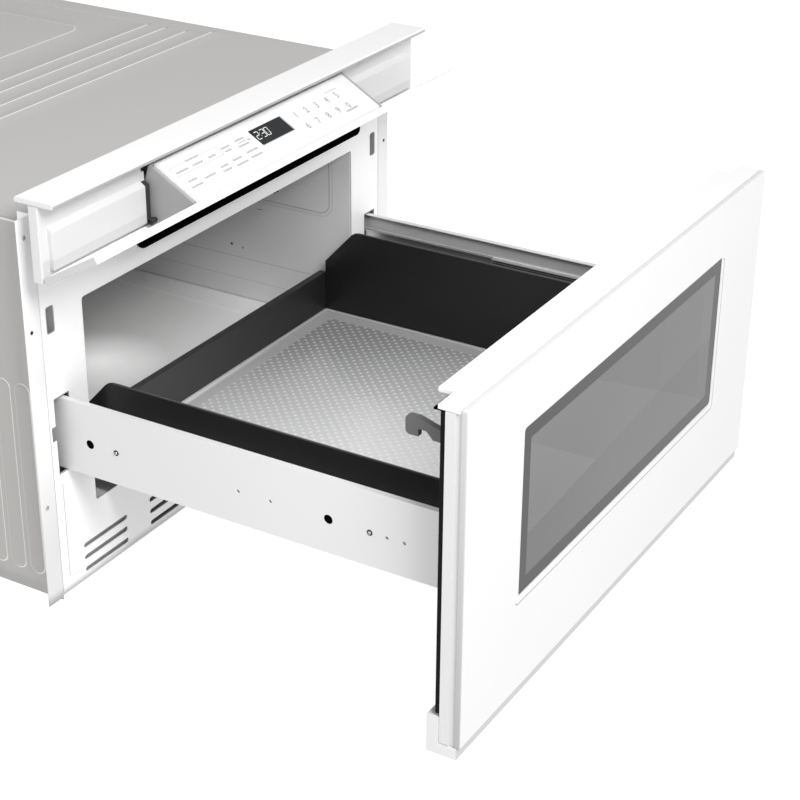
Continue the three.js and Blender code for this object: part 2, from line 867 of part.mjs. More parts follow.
// Black strip that closes the gap between bezel and door.
function revealStrip() {
  const face = [
    ...arc([stripHalf - stripRadius, stripBottom + stripRadius], stripRadius, -90, 0),
    [stripHalf, stripTop],
    [-stripHalf, stripTop],
    ...arc([stripRadius - stripHalf, stripBottom + stripRadius], stripRadius, 180, 270),
  ];
  const legRise = [stripTop - stripLeg, stripTop];
  const leg = block([-stripHalf, stripHalf], [stripRear - beadRoot, bezelRear], legRise);
  const rib = [stripTop - stripLeg, bezelBottom - clearance];
  return join(
    prism(face, "y", [stripFront, stripRear]),
    leg,
    block([-stripHalf, stripHalf], [bezelRear - stripRib, bezelRear], rib),
  );
}

// Oven cavity and what hangs on it

function ovenCavity() {
  const front = plateSheet + clearance;
  const flange = cavityOuter + cavityFlange;
  const solids = [
    block(
      [-cavityOuter, cavityOuter],
      [front, cavityDepth + cavitySheet],
      [cavityFloor - cavitySheet, cavityTopOuter],
    ),
    block(
      [-flange, flange],
      [front, front + cavitySheet],
      [cavityFloor - cavityFlange, cavityCeiling + cavityFlange],
    ),
  ];
  const hollow = block([-cavityHalf, cavityHalf], [0, cavityDepth], [cavityFloor, cavityCeiling]);
  const up = [cavityCeiling - overrun, cavityTopOuter + overrun];
  const holes = [
    block([-feedHalf, feedHalf], [feedFront, feedRear], up),
    rod("z", stirrerShaft + overrun, up, [0, stirrerPlace]),
  ];
  const lampMiddle = [(lampSpanY[0] + lampSpanY[1]) / 2, (lampSpanZ[0] + lampSpanZ[1]) / 2];
  for (const row of [-1, 0, 1]) {
    for (const column of [-1, 0, 1]) {
      const place = [lampMiddle[0] + column * lampHolePitch, lampMiddle[1] + row * lampHolePitch];
      holes.push(rod("x", lampHoleRadius, [cavityHalf - overrun, cavityOuter + overrun], place, 6));
    }
  }
  const line = frameLine(
    [wallFrameFront, wallFrameRear],
    [wallFrameBottom, wallFrameTop],
    wallFrameRadius,
    wallFrameLine,
  );
  const lines = both.map(([, side]) =>
    prism(line, "x", mirrored(side, [cavityHalf - beadHeight, cavityHalf + beadRoot])),
  );
  return join(cut(join(...solids), hollow, ...holes), ...lines);
}

// Shallow pan under the stirrer.
function stirrerCover() {
  const top = cavityCeiling - clearance;
  const spanY = [stirrerPlace - coverHalf, stirrerPlace + coverHalf];
  const shrink = ([a, b]) => [a + coverSheet, b - coverSheet];
  const spanX = [-coverHalf, coverHalf];
  return cut(
    prism(rounded(spanX, spanY, coverRadius), "z", [top - coverDepth, top]),
    prism(
      rounded(shrink(spanX), shrink(spanY), coverRadius - coverSheet),
      "z",
      [top - coverDepth + coverSheet, top + overrun],
    ),
  );
}

// Hub, shaft and tilted blades, turned about Z.
function stirrer() {
  const floor = cavityCeiling - clearance - coverDepth + coverSheet;
  const middle = (floor + cavityCeiling) / 2;
  const hubSpan = [middle - stirrerHubHeight / 2, middle + stirrerHubHeight / 2];
  const shaftTop = cavityTopOuter + clearance + guideHeight + stirrerMotorHeight / 2;
  const whole = [
    rod("z", stirrerHub, hubSpan, [0, 0]),
    rod("z", stirrerShaft, [middle, shaftTop], [0, 0]),
  ];
  const start = stirrerHub / 2;
  const length = stirrerRadius - start - overrun;
  for (let i = 0; i < stirrerBlades; i += 1) {
    const blade = new THREE.BoxGeometry(length, stirrerBladeWidth, stirrerBladeSheet);
    blade.translate(start + length / 2, 0, 0);
    blade.rotateX(radians(stirrerBladeTilt));
    blade.rotateZ((i * 2 * Math.PI) / stirrerBlades);
    whole.push(solid(blade.translate(0, 0, middle)));
  }
  return join(...whole);
}

// Channel that leads the microwaves forward over the cavity, open below, with a flange all round.
function waveguide() {
  const bottom = cavityTopOuter + clearance;
  const top = bottom + guideHeight;
  const through = [top - plateSheet - overrun, top + overrun];
  return cut(
    join(
      block([-guideHalf, guideHalf], [guideFront, guideRear], [bottom, top]),
      block(
        [-guideHalf - guideFlange, guideHalf + guideFlange],
        [guideFront - guideFlange, guideRear + guideFlange],
        [bottom, bottom + plateSheet],
      ),
    ),
    block(
      [plateSheet - guideHalf, guideHalf - plateSheet],
      [guideFront + plateSheet, guideRear - plateSheet],
      [bottom - overrun, top - plateSheet],
    ),
    rod("z", stirrerShaft + overrun, through, [0, stirrerPlace]),
  );
}

function stirrerMotor() {
  const bottom = cavityTopOuter + guideHeight + 2 * clearance;
  const bore = [bottom - overrun, bottom + stirrerMotorHeight / 2 + overrun];
  const earDepth = [stirrerPlace - motorEarHalf, stirrerPlace + motorEarHalf];
  const ears = stadium([-motorEarReach, motorEarReach], earDepth);
  return cut(
    join(
      rod("z", stirrerMotorRadius, [bottom, bottom + stirrerMotorHeight], [0, stirrerPlace], roundSteps),
      prism(ears, "z", [bottom, bottom + motorEarSheet]),
    ),
    rod("z", stirrerShaft + pinFit, bore, [0, stirrerPlace]),
  );
}

// Yoke with cooling fins round the anode, antenna above and filter box below.
function magnetron() {
  const top = cavityTopOuter;
  const bottom = top - tubeHeight;
  const middle = (tubeFront + tubeRear) / 2;
  const finSpan = [bottom + tubeYokeSheet, top - tubeYokeSheet];
  const pitch = (finSpan[1] - finSpan[0]) / (finCount + 1);
  const solids = [
    block([-tubeHalf, tubeHalf], [tubeFront, tubeRear], [top - tubeYokeSheet, top]),
    block([-tubeHalf, tubeHalf], [tubeFront, tubeRear], [bottom, bottom + tubeYokeSheet]),
    block([-tubeHalf, tubeHalf], [tubeFront, tubeFront + tubeYokeSheet], [bottom, top]),
    block([-tubeHalf, tubeHalf], [tubeRear - tubeYokeSheet, tubeRear], [bottom, top]),
    rod("z", anodeRadius, [bottom, top], [0, middle], roundSteps),
    rod("z", antennaRadius, [top - overrun, top + antennaHeight], [0, middle]),
    block([-finHalf, finHalf], [middle - finHalf, middle + finHalf], [bottom - filterHeight, bottom]),
  ];
  for (let i = 1; i <= finCount; i += 1) {
    const height = finSpan[0] + i * pitch;
    const fin = [height - finSheet / 2, height + finSheet / 2];
    solids.push(block([-finHalf, finHalf], [tubeFront + overrun, tubeRear - overrun], fin));
  }
  return join(...solids);
}

// Duct from the fan's front to the magnetron's side, open at both ends.
function airDuct() {
  const left = fanPlace - fanFrameHalf + ductSideInset;
  const right = -tubeHalf - clearance;
  const fanSide = fanPlace + fanFrameHalf - ductSideInset;
  const fanFace = backInner - clearance - fanFrameDepth - clearance;
  const plan = (inset, past) => [
    [left + inset, fanFace + past],
    [left + inset, ductFront + ductBevel],
    [left + ductBevel, ductFront + inset],
    [right + past, ductFront + inset],
    [right + past, ductRear - inset],
    [fanSide - inset, ductRear - inset],
    [fanSide - inset, fanFace + past],
  ];
  return cut(
    prism(plan(0, 0), "z", [ductBottom, ductTop]),
    prism(plan(ductWall, overrun), "z", [ductBottom + ductWall, ductTop - ductWall]),
  );
}

function fanHousing() {
  const rear = backInner - clearance;
  const front = rear - fanFrameDepth;
  const square = (half) => [
    [fanPlace - half, fanPlace + half],
    [fanHeight - half, fanHeight + half],
  ];
  const centre = [fanPlace, fanHeight];
  const opening = circle(centre, fanBore, roundSteps * 2);
  const frame = outline(rounded(...square(fanFrameHalf), fanFrameCorner), opening);
  const ringSpan = [front, front + fanRingDepth];
  const solids = [prism(frame, "y", [front, rear]), rod("y", fanRingRadius, ringSpan, centre, roundSteps)];
  for (let i = 0; i < fanArms; i += 1) {
    const arm = new THREE.BoxGeometry(fanBore + overrun, fanRingDepth, 2 * fanArmHalf);
    arm.translate((fanBore + overrun) / 2, 0, 0);
    arm.rotateY((i * 2 * Math.PI) / fanArms);
    solids.push(solid(arm.translate(fanPlace, front + fanRingDepth / 2, fanHeight)));
  }
  const bore = rod("y", fanShaft + pinFit, [front - overrun, front + fanRingDepth + overrun], centre);
  return cut(join(...solids), bore);
}

function fanMotor() {
  const face = backInner - clearance - fanFrameDepth - clearance;
  const centre = [fanPlace, fanHeight];
  const tip = backInner - clearance - fanRingDepth - overrun;
  return join(
    rod("y", fanMotorRadius, [face - fanMotorDepth, face], centre, roundSteps),
    rod("y", fanShaft, [face - overrun, tip - fanHubDepth / 2], centre),
  );
}

// Hub and pitched blades, turned about Y.
function fanBlade() {
  const solids = [rod("y", fanHub, [-fanHubDepth / 2, fanHubDepth / 2], [0, 0], roundSteps)];
  const start = fanHub / 2;
  for (let i = 0; i < fanBlades; i += 1) {
    const blade = new THREE.BoxGeometry(fanRadius - start - overrun, fanBladeSheet, fanBladeChord);
    blade.translate((fanRadius - overrun + start) / 2, 0, 0);
    blade.rotateX(radians(90 - fanBladePitch));
    blade.rotateY((i * 2 * Math.PI) / fanBlades);
    solids.push(solid(blade));
  }
  const bore = [-fanHubDepth / 2 - overrun, fanHubDepth / 2 - coverSheet];
  return cut(join(...solids), rod("y", fanShaft + pinFit, bore, [0, 0]));
}

// Electrics on the base

const baseSeat = plateSheet + clearance;

// Laminated core on feet with its winding bulging out front and rear.
function transformer() {
  const [x0, x1] = coreSpanX;
  const [y0, y1] = coreSpanY;
  const core = block([x0, x1], [y0 + coreCoilProud, y1 - coreCoilProud], [baseSeat, baseSeat + coreHeight]);
  const winding = prism(
    rounded([x0 + coreCoilInset, x1 - coreCoilInset], [y0, y1], coreCoilProud),
    "z",
    [baseSeat + coreCoilInset, baseSeat + coreHeight - coreCoilInset],
  );
  const foot = block(
    [x0 - coreFoot, x1 + coreFoot],
    [y0 + coreCoilProud, y1 - coreCoilProud],
    [baseSeat, baseSeat + coreFootSheet],
  );
  return join(core, winding, foot);
}

function capacitor() {
  const spanX = [canPlace - canHalf, canPlace + canHalf];
  const can = prism(stadium(spanX, canSpanY), "z", [baseSeat, baseSeat + canHeight]);
  const middle = (canSpanY[0] + canSpanY[1]) / 2;
  const top = baseSeat + canHeight;
  const lugSheet = [canPlace - canLugSheet / 2, canPlace + canLugSheet / 2];
  const lugs = [-1, 1].map((way) => {
    const place = middle + way * canHalf;
    return block(lugSheet, [place - canLugHalf, place + canLugHalf], [top, top + canLug]);
  });
  const clampDepth = [canSpanY[0] - canLug, canSpanY[1] + canLug];
  const clamp = block(spanX, clampDepth, [baseSeat, baseSeat + coreFootSheet]);
  return join(can, clamp, ...lugs);
}

// Board on four posts, with a finned heat sink, a relay and two round capacitors.
function powerBoard() {
  const top = baseSeat + boardLift + boardSheet;
  const [x0, x1] = boardSpanX;
  const [y0, y1] = boardSpanY;
  const solids = [block([x0, x1], [y0, y1], [baseSeat + boardLift, top])];
  for (const x of [x0 + boardPostInset, x1 - boardPostInset]) {
    for (const y of [y0 + boardPostInset, y1 - boardPostInset]) {
      solids.push(rod("z", boardPost, [baseSeat, top], [x, y], smallRoundSteps));
    }
  }
  const sinkStart = x0 + sinkFromLeft;
  const sinkEnd = sinkStart + (sinkFins - 1) * sinkFinPitch + sinkFinSheet;
  const sinkDepth = [y0 + sinkFromFront, y1 - sinkFromRear];
  solids.push(block([sinkStart, sinkEnd], sinkDepth, [top - overrun, top + sinkFootSheet]));
  for (let i = 0; i < sinkFins; i += 1) {
    const x = sinkStart + i * sinkFinPitch;
    solids.push(block([x, x + sinkFinSheet], sinkDepth, [top - overrun, top + sinkHeight]));
  }
  const relayEnd = x1 - relayInset;
  const relayStart = relayEnd - relaySize;
  const relayDepth = [y0 + relayInset, y0 + relayInset + relaySize];
  solids.push(block([relayStart, relayEnd], relayDepth, [top - overrun, top + relayHeight]));
  for (const x of [relayStart, relayEnd]) {
    const centre = [x, y1 - sinkFromRear];
    solids.push(rod("z", boardCanRadius, [top - overrun, top + sinkHeight], centre));
  }
  return join(...solids);
}

// Folded stand under the cavity's rear.
function cavityStand() {
  const top = cavityFloor - cavitySheet - clearance;
  const outer = block([-standHalf, standHalf], standSpanY, [baseSeat, top]);
  const hollow = block(
    [standSheet - standHalf, standHalf - standSheet],
    [standSpanY[0] - overrun, standSpanY[1] + overrun],
    [baseSeat - overrun, top - standSheet],
  );
  const footSpan = [standHalf - standSheet, standHalf + returnDepth];
  const feet = both.map(([, side]) =>
    block(mirrored(side, footSpan), standSpanY, [baseSeat, baseSeat + standSheet]),
  );
  return join(cut(outer, hollow), ...feet);
}

// Lamp in a small box on the cavity's right wall, open towards the wall.
function lampHolder() {
  const inner = cavityOuter + clearance;
  const outer = cavityOuter + lampReach;
  const shrink = ([a, b]) => [a + lampSheet, b - lampSheet];
  const middle = [(lampSpanY[0] + lampSpanY[1]) / 2, (lampSpanZ[0] + lampSpanZ[1]) / 2];
  return join(
    cut(
      block([inner, outer], lampSpanY, lampSpanZ),
      block([inner - overrun, outer - lampSheet], shrink(lampSpanY), shrink(lampSpanZ)),
    ),
    rod("x", lampRadius, [inner + 2 * lampSheet, outer - lampSheet / 2], middle),
  );
}

// Grommet with a flange on each side of the back panel.
function cordBushing() {
  const out = cabinetDepth + clearance;
  const within = backInner - clearance;
  const centre = [bushingPlace, bushingHeight];
  return cut(
    join(
      rod("y", bushingFlange, [out, out + bushingDepth], centre, roundSteps),
      rod("y", bushingHole - clearance, [within - overrun, out + overrun], centre, roundSteps),
      rod("y", bushingFlange, [within - bushingDepth, within], centre, roundSteps),
    ),
    rod("y", bushingBore, [within - bushingDepth - overrun, out + bushingDepth + overrun], centre),
  );
}

// Rails, drive and switches

// Bar of the fixed rail with two brackets that reach the cavity's wall.
function fixedSlide(side) {
  const inner = cavityOuter + clearance;
  const height = [railCentre - railHeight / 2, railCentre + railHeight / 2];
  const solids = [block(mirrored(side, [railInner, railInner + railBar]), [railFront, railRear], height)];
  for (const foot of railFeet) {
    const shelf = [railCentre - railShelf / 2, railCentre + railShelf / 2];
    const pad = [railCentre - railFootHeight / 2, railCentre + railFootHeight / 2];
    solids.push(block(mirrored(side, [inner + beadRoot, railInner + beadRoot]), foot, shelf));
    solids.push(block(mirrored(side, [inner, inner + railFootSheet]), foot, pad));
  }
  return join(...solids);
}

// H section: its web runs between fixed bar and drawer bar, and its lips hold both.
function middleSlide(side) {
  const web = [middleInner, middleInner + middleSheet];
  const lip = [middleInner - middleLip, middleInner + middleSheet + middleLip];
  const half = railHeight / 2 + clearance;
  const length = [middleFront, middleRear];
  return join(
    block(mirrored(side, web), length, [railCentre - half, railCentre + half]),
    block(mirrored(side, lip), length, [railCentre + half, railCentre + half + middleSheet]),
    block(mirrored(side, lip), length, [railCentre - half - middleSheet, railCentre - half]),
  );
}

function drawerSlide(side) {
  const height = [railCentre - drawerBarHeight / 2, railCentre + drawerBarHeight / 2];
  return block(mirrored(side, [barInner, barOuter]), [drawerFront, memberRear], height);
}

// Channel section with its lips towards the rail and a row of holes.
function sideMember(side) {
  const outer = [memberOuter - memberFlange, memberOuter];
  const length = [drawerFront, memberRear];
  const channel = cut(
    block(mirrored(side, outer), length, [memberBottom, memberTop]),
    block(
      mirrored(side, [memberOuter - memberFlange - overrun, memberInner]),
      [drawerFront - overrun, memberRear + overrun],
      [memberBottom + memberSheet, memberTop - memberSheet],
    ),
  );
  const through = mirrored(side, [memberInner - overrun, memberOuter + overrun]);
  const holes = memberHoles.map(([place, radius]) =>
    rod("x", radius, through, [place, memberHoleHeight], smallRoundSteps),
  );
  return cut(channel, ...holes);
}

// Straight-flanked teeth pointing down, one gap above the pinion's axis when the drawer is out.
function driveRack() {
  const tip = rackPitchHeight - gearModule;
  const root = rackPitchHeight + gearModule * toothRoot;
  const lean = Math.tan(radians(toothFlank));
  const halfAtPitch = toothPitch / 4 - toothPlay / 2;
  const halfTip = halfAtPitch - gearModule * lean;
  const halfRoot = halfAtPitch + gearModule * toothRoot * lean;
  const top = root + rackBacking;
  const first = pinionPlace + drawerTravel + toothPitch / 2;
  const count = Math.floor((first - halfRoot - rackFront) / toothPitch);
  const points = [];
  for (let i = count; i >= -1; i -= 1) {
    const middle = first - i * toothPitch;
    points.push([middle - halfRoot, root], [middle - halfTip, tip]);
    points.push([middle + halfTip, tip], [middle + halfRoot, root]);
  }
  const start = points[0][0] - overrun;
  const end = Math.max(rackRear, points.at(-1)[0] + overrun);
  const bar = [[start, root], ...points, [end, root], [end, top], [start, top]];
  return prism(bar, "x", [rackInner, rackOuter]);
}

// Toothed disc drawn about the X axis, one tooth pointing straight up.
function drivePinion() {
  const outerRadius = pitchRadius + gearModule;
  const rootRadius = pitchRadius - gearModule * toothRoot;
  const halfPitch = 90 / pinionTeeth;
  const play = (toothPlay / 2 / pitchRadius) * (180 / Math.PI);
  const halfRoot = halfPitch * toothRootSpread - play;
  const halfTip = halfPitch * toothTipSpread - play / 2;
  const points = [];
  for (let i = 0; i < pinionTeeth; i += 1) {
    const middle = 90 + (i * fullTurn) / pinionTeeth;
    const tooth = [
      [rootRadius, -halfRoot],
      [pitchRadius, -(halfPitch - play)],
      [outerRadius, -halfTip],
      [outerRadius, halfTip],
      [pitchRadius, halfPitch - play],
      [rootRadius, halfRoot],
    ];
    for (const [radius, angle] of tooth) {
      const turned = radians(middle + angle);
      points.push([radius * Math.cos(turned), radius * Math.sin(turned)]);
    }
  }
  const wheel = outline(points, circle([0, 0], driveShaft + pinFit, shaftSteps));
  return prism(wheel, "x", [-pinionWidth / 2, pinionWidth / 2]);
}

// Gearbox on a plate against the cavity's right wall, with the motor's can behind it and the shaft outwards.
function driveMotor() {
  const inner = cavityOuter + clearance;
  const spanY = [pinionPlace - gearboxHalf, pinionPlace + gearboxHalf];
  const spanZ = [pinionAxis - gearboxHalf, pinionAxis + gearboxHalf];
  const canCentre = [(inner + railInner) / 2, pinionAxis - motorCanDrop];
  const plateY = [pinionPlace - motorPlateHalf, pinionPlace + motorPlateHalf];
  return join(
    block([inner, inner + motorPlateSheet], plateY, motorPlateHeight),
    prism(rounded(spanY, spanZ, gearboxCorner), "x", [inner + overrun, railInner]),
    rod("y", motorCan, [spanY[1] - overrun, spanY[1] + motorCanLength], canCentre),
    rod("x", driveShaft, [railInner - overrun, rackInner + pinionWidth], [pinionPlace, pinionAxis]),
  );
}

// Switch body behind the latch slot, standing on the front plate with a cheek each side of the hook.
function switchBlock(side) {
  const front = plateSheet + clearance;
  const body = block(mirrored(side, switchSpanX), [front, switchRear], switchSpanZ);
  const throat = mirrored(side, [latchSlotInner - switchWall / 2, latchSlotOuter + switchWall / 2]);
  const way = block(
    throat,
    [0, latchHeadRear + switchGap],
    [switchSpanZ[0] - overrun, switchSpanZ[1] + overrun],
  );
  return cut(body, way);
}

function latchHook(side) {
  const tip = [latchHeadRear - latchTipRadius, latchBarBottom + latchTipRadius];
  const crown = [latchHeadRear - latchTipRadius, latchHeadTop - latchTipRadius];
  const points = [
    [drawerFront, latchBarBottom],
    [latchNeckStart, latchBarBottom],
    [latchNeckStart + latchNeckRun, latchNeck],
    [latchHeadFront, latchNeck],
    [latchHeadFront, latchBarBottom],
    ...arc(tip, latchTipRadius, 270, 360),
    ...arc(crown, latchTipRadius, 0, 90),
    [latchHeadFront, latchHeadTop],
    [drawerFront, latchBarTop],
  ];
  return prism(points, "x", mirrored(side, [latchInner, latchOuter]));
}

// Tub

function tubWall(side) {
  const shoulder = [tubWallRear - tubShoulderRun, tubShoulderTop];
  const end = [tubWallRear - tubTopRun, tubWallTop];
  const fillet = Array.from({ length: tubFilletSteps }, (_, i) => {
    const t = i / tubFilletSteps;
    const bend = [shoulder[0] - (tubWallTop - tubShoulderTop), tubWallTop];
    return [0, 1].map((k) => shoulder[k] * (1 - t) ** 2 + 2 * bend[k] * t * (1 - t) + end[k] * t * t);
  });
  const points = [
    [drawerFront, tubBase],
    [tubWallRear, tubBase],
    [tubWallRear, tubShoulderHeight],
    ...fillet,
    end,
    [drawerFront, tubWallTop],
  ];
  const slot = stadium([tubSlotPlace - tubSlotRadius, tubSlotPlace + tubSlotRadius], tubSlotSpan);
  const through = mirrored(side, [tubWallInner - overrun, tubWallOuter + overrun]);
  return cut(prism(points, "x", mirrored(side, [tubWallInner, tubWallOuter])), prism(slot, "x", through));
}

function rearTubWall() {
  const rear = tubRear + tubWallSheet;
  const lip = [tubRearHeight - tubRearReturnSheet, tubRearHeight];
  return join(
    block([-tubWallOuter, tubWallOuter], [tubRear, rear], [tubBase, tubRearHeight]),
    block([-tubWallOuter, tubWallOuter], [tubRear, rear + tubRearReturn], lip),
  );
}

// Floor pan with its edges folded down.
function tubFloor() {
  const rear = tubRear + tubWallSheet + clearance;
  const top = tubFloorBottom + tubFloorDepth;
  return cut(
    block([-tubFloorHalf, tubFloorHalf], [drawerFront, rear], [tubFloorBottom, top]),
    block(
      [tubFloorSheet - tubFloorHalf, tubFloorHalf - tubFloorSheet],
      [drawerFront + tubFloorSheet, rear - tubFloorSheet],
      [tubFloorBottom - overrun, top - tubFloorSheet],
    ),
  );
}

// Glass plate with a raised rim.
function glassTray() {
  const half = tubWallInner - clearance;
  const spanX = [-half, half];
  const spanY = [drawerFront + clearance, tubWallRear];
  const shrink = ([a, b]) => [a + trayRim, b - trayRim];
  const top = tubBase + traySheet;
  return cut(
    prism(rounded(spanX, spanY, trayRadius), "z", [tubBase, top + trayRimHeight]),
    prism(
      rounded(shrink(spanX), shrink(spanY), trayRadius - trayRimHeight),
      "z",
      [top, top + trayRimHeight + overrun],
    ),
  );
}

// Door

const sight = rounded([-sightHalf, sightHalf], [sightBottom, sightTop], windowRadius);

function lapped(lap) {
  return rounded([-sightHalf - lap, sightHalf + lap], [sightBottom - lap, sightTop + lap], windowRadius);
}

// Painted pan behind the face, open to the back, with a groove down each side and a seat for the screen.
function doorFrame() {
  const frame = prism(
    outline(rounded([-halfTrim, halfTrim], [frameBottom, frameTop], doorCorner, 2), sight),
    "y",
    [frameFront, frameRear],
  );
  const grooves = both.map(([, side]) =>
    block(
      mirrored(side, [halfTrim - grooveDepth, halfTrim + overrun]),
      [frameFront - overrun, frameFront + grooveWidth],
      [frameBottom - overrun, frameTop + overrun],
    ),
  );
  const seat = prism(lapped(screenLap), "y", [frameRear - screenSeat, frameRear + overrun]);
  const wall = grooveDepth + frameSheet;
  const rim = rounded(
    [wall - halfTrim, halfTrim - wall],
    [frameBottom + frameSheet, frameTop - frameSheet],
    doorCorner,
    2,
  );
  const surround = lapped(screenLap + frameSheet);
  const pan = prism(outline(rim, surround), "y", [frameFront + frameSheet, frameRear + overrun]);
  return cut(frame, ...grooves, seat, pan);
}

// Shallow pan with bevelled edges and a window through it, hollow towards the frame.
function doorFrontPanel() {
  const wall = facePlateSheet;
  const opening = rounded([-windowHalf, windowHalf], [windowBottom, windowTop], windowRadius);
  const face = rounded([-halfTrim, halfTrim], [frameBottom, faceTop], faceBevel + windowRadius / 2);
  const rimRise = [frameBottom + wall, faceTop - wall];
  const rim = rounded([wall - halfTrim, halfTrim - wall], rimRise, doorCorner, 2);
  const surround = rounded(
    [-windowHalf - wall, windowHalf + wall],
    [windowBottom - wall, windowTop + wall],
    windowRadius + wall,
  );
  const hollow = prism(outline(rim, surround), "y", [faceFront + facePlateSheet, faceRear + overrun]);
  return cut(prism(outline(face, opening), "y", [faceFront, faceRear], faceBevel), hollow);
}

function windowGlass() {
  const span = [faceFront + windowRecess, faceFront + windowRecess + windowGlassSheet];
  const half = windowHalf - clearance;
  const rise = [windowBottom + clearance, windowTop - clearance];
  return prism(rounded([-half, half], rise, windowRadius), "y", span);
}

function windowScreen() {
  const front = frameRear - screenSeat + clearance;
  return prism(lapped(screenLap - clearance), "y", [front, front + screenSheet]);
}

// Black inner door: a plate with the deeper choke behind it, hollow to the front, and a window through both.
function innerDoor() {
  const half = halfTrim - innerPlateInset;
  const plate = rounded([-half, half], [innerPlateBottom, innerPlateTop], doorCorner, 2);
  const choke = rounded([-chokeHalf, chokeHalf], [chokeBottom, chokeTop], windowRadius);
  const seatDepth = [chokeRear - innerGlassSheet - 2 * clearance, chokeRear + overrun];
  const seat = prism(lapped(innerGlassLap), "y", seatDepth);
  const rim = rounded(
    [chokeSheet - chokeHalf, chokeHalf - chokeSheet],
    [chokeBottom + chokeSheet, chokeTop - chokeSheet],
    doorCorner,
  );
  const hollow = prism(
    outline(rim, lapped(innerGlassLap + chokeSheet)),
    "y",
    [innerPlateFront - overrun, chokeRear - chokeSheet],
  );
  return cut(
    join(
      prism(outline(plate, sight), "y", [innerPlateFront, chokeFront]),
      prism(outline(choke, sight), "y", [chokeFront - beadRoot, chokeRear]),
    ),
    seat,
    hollow,
  );
}

function innerWindowGlass() {
  const front = chokeRear - innerGlassSheet - clearance;
  return prism(lapped(innerGlassLap - clearance), "y", [front, front + innerGlassSheet]);
}

function doorBottomTrim() {
  const section = [
    [bottomTrimFront, bottomTrimBottom],
    [bottomTrimRear, bottomTrimBottom],
    [bottomTrimRear, bottomTrimTop],
    [innerPlateFront, bottomTrimTop],
    [innerPlateFront, bottomTrimSplit],
    [bottomTrimFront, bottomTrimSplit],
  ];
  return prism(section, "x", [-halfTrim, halfTrim]);
}

// Cap over the door's upper edge: its middle runs back over the choke, its ends are shorter.
function doorTopCap() {
  const bottom = frameTop + clearance;
  const plan = [
    [-halfTrim, frameFront],
    [halfTrim, frameFront],
    [halfTrim, capEndRear],
    [capEndPlace, capEndRear],
    [capEndPlace, capRear],
    [-capEndPlace, capRear],
    [-capEndPlace, capEndRear],
    [-halfTrim, capEndRear],
  ];
  return prism(plan, "z", [bottom, bottom + capSheet]);
}

// Control panel, drawn shut

// A point on the sloping glass: so far back along it from its front edge, and so far above its face.
function glassPoint(along, above) {
  const slope = radians(glassSlope);
  const front = [faceFront + glassFrontSetback, fasciaTop - glassFrontDrop];
  return [
    front[0] + along * Math.cos(slope) + above * Math.sin(slope),
    front[1] - along * Math.sin(slope) + above * Math.cos(slope),
  ];
}

// A plate that lies in the glass's plane: a plan of (x, along) between two heights above the glass's face.
function glassPlate(plan, [low, high], bevel = 0) {
  const form = plan instanceof THREE.Shape ? plan : outline(plan);
  const geometry = new THREE.ExtrudeGeometry(form, {
    depth: high - low - 2 * bevel,
    bevelEnabled: bevel > 0,
    bevelThickness: bevel,
    bevelSize: bevel,
    bevelOffset: -bevel,
    bevelSegments: 1,
  });
  geometry.translate(0, 0, low + bevel);
  geometry.rotateX(radians(-glassSlope));
  const [y, z] = glassPoint(0, 0);
  return solid(geometry.translate(0, y, z));
}

// Pan across the full width: a face with edges folded back all round.
function panelFascia() {
  const outer = prism(
    rounded([-halfTrim, halfTrim], [fasciaBottom, fasciaTop], fasciaSheet, 3),
    "y",
    [faceFront, faceFront + fasciaDepth],
  );
  const hollow = block(
    [fasciaSheet - halfTrim, halfTrim - fasciaSheet],
    [faceFront + fasciaSheet, faceFront + fasciaDepth + overrun],
    [fasciaBottom + fasciaSheet, fasciaTop - fasciaSheet],
  );
  return cut(outer, hollow);
}

// Wedge between fascia and glass, recessed for the glass and, deeper, for the board.
function panelHousing() {
  const front = faceFront + fasciaSheet + clearance;
  const run = (glassPoint(0, 0)[0] - front) / Math.cos(radians(glassSlope));
  const section = [
    [front, housingFoot],
    [housingKeelRear, housingFoot],
    [housingHeelRear, housingHeel],
    glassPoint(glassLength + housingRim, -housingTailDrop),
    glassPoint(glassLength + housingRim, 0),
    glassPoint(-run, 0),
  ];
  const glassBed = glassPlate(
    rounded(
      [-glassHalf - clearance, glassHalf + clearance],
      [-clearance, glassLength + clearance],
      glassRadius,
    ),
    [-glassSheet - clearance, overrun],
  );
  const ledge = [boardLedge, glassLength - boardLedge * 2];
  const board = glassPlate(
    rounded([boardLedge - glassHalf, glassHalf - boardLedge], ledge, glassRadius),
    [-glassSheet - boardRecess, 0],
  );
  const well = glassPlate(
    rounded(
      [boardLedge * 2 - glassHalf, glassHalf - boardLedge * 2],
      [boardLedge * 2, glassLength - boardLedge * 4],
      lensRadius,
    ),
    [-glassSheet - boardRecess - boardWellDepth, 0],
  );
  const bores = both.map(([, side]) =>
    rod(
      "x",
      hingePinRadius + pinFit,
      mirrored(side, [hingePinInner - clearance, housingHalf + overrun]),
      [tiltPlaceY, tiltPlaceZ],
      smallRoundSteps,
    ),
  );
  return cut(prism(section, "x", [-housingHalf, housingHalf]), glassBed, board, well, ...bores);
}

function controlGlass() {
  const plan = outline(
    rounded([-glassHalf, glassHalf], [0, glassLength], glassRadius),
    rounded(lensSpanX, lensSpan, lensRadius),
  );
  return glassPlate(plan, [-glassSheet, 0]);
}

function displayLens() {
  const shrink = ([a, b]) => [a + clearance, b - clearance];
  return glassPlate(rounded(shrink(lensSpanX), shrink(lensSpan), lensRadius), [-glassSheet, 0]);
}

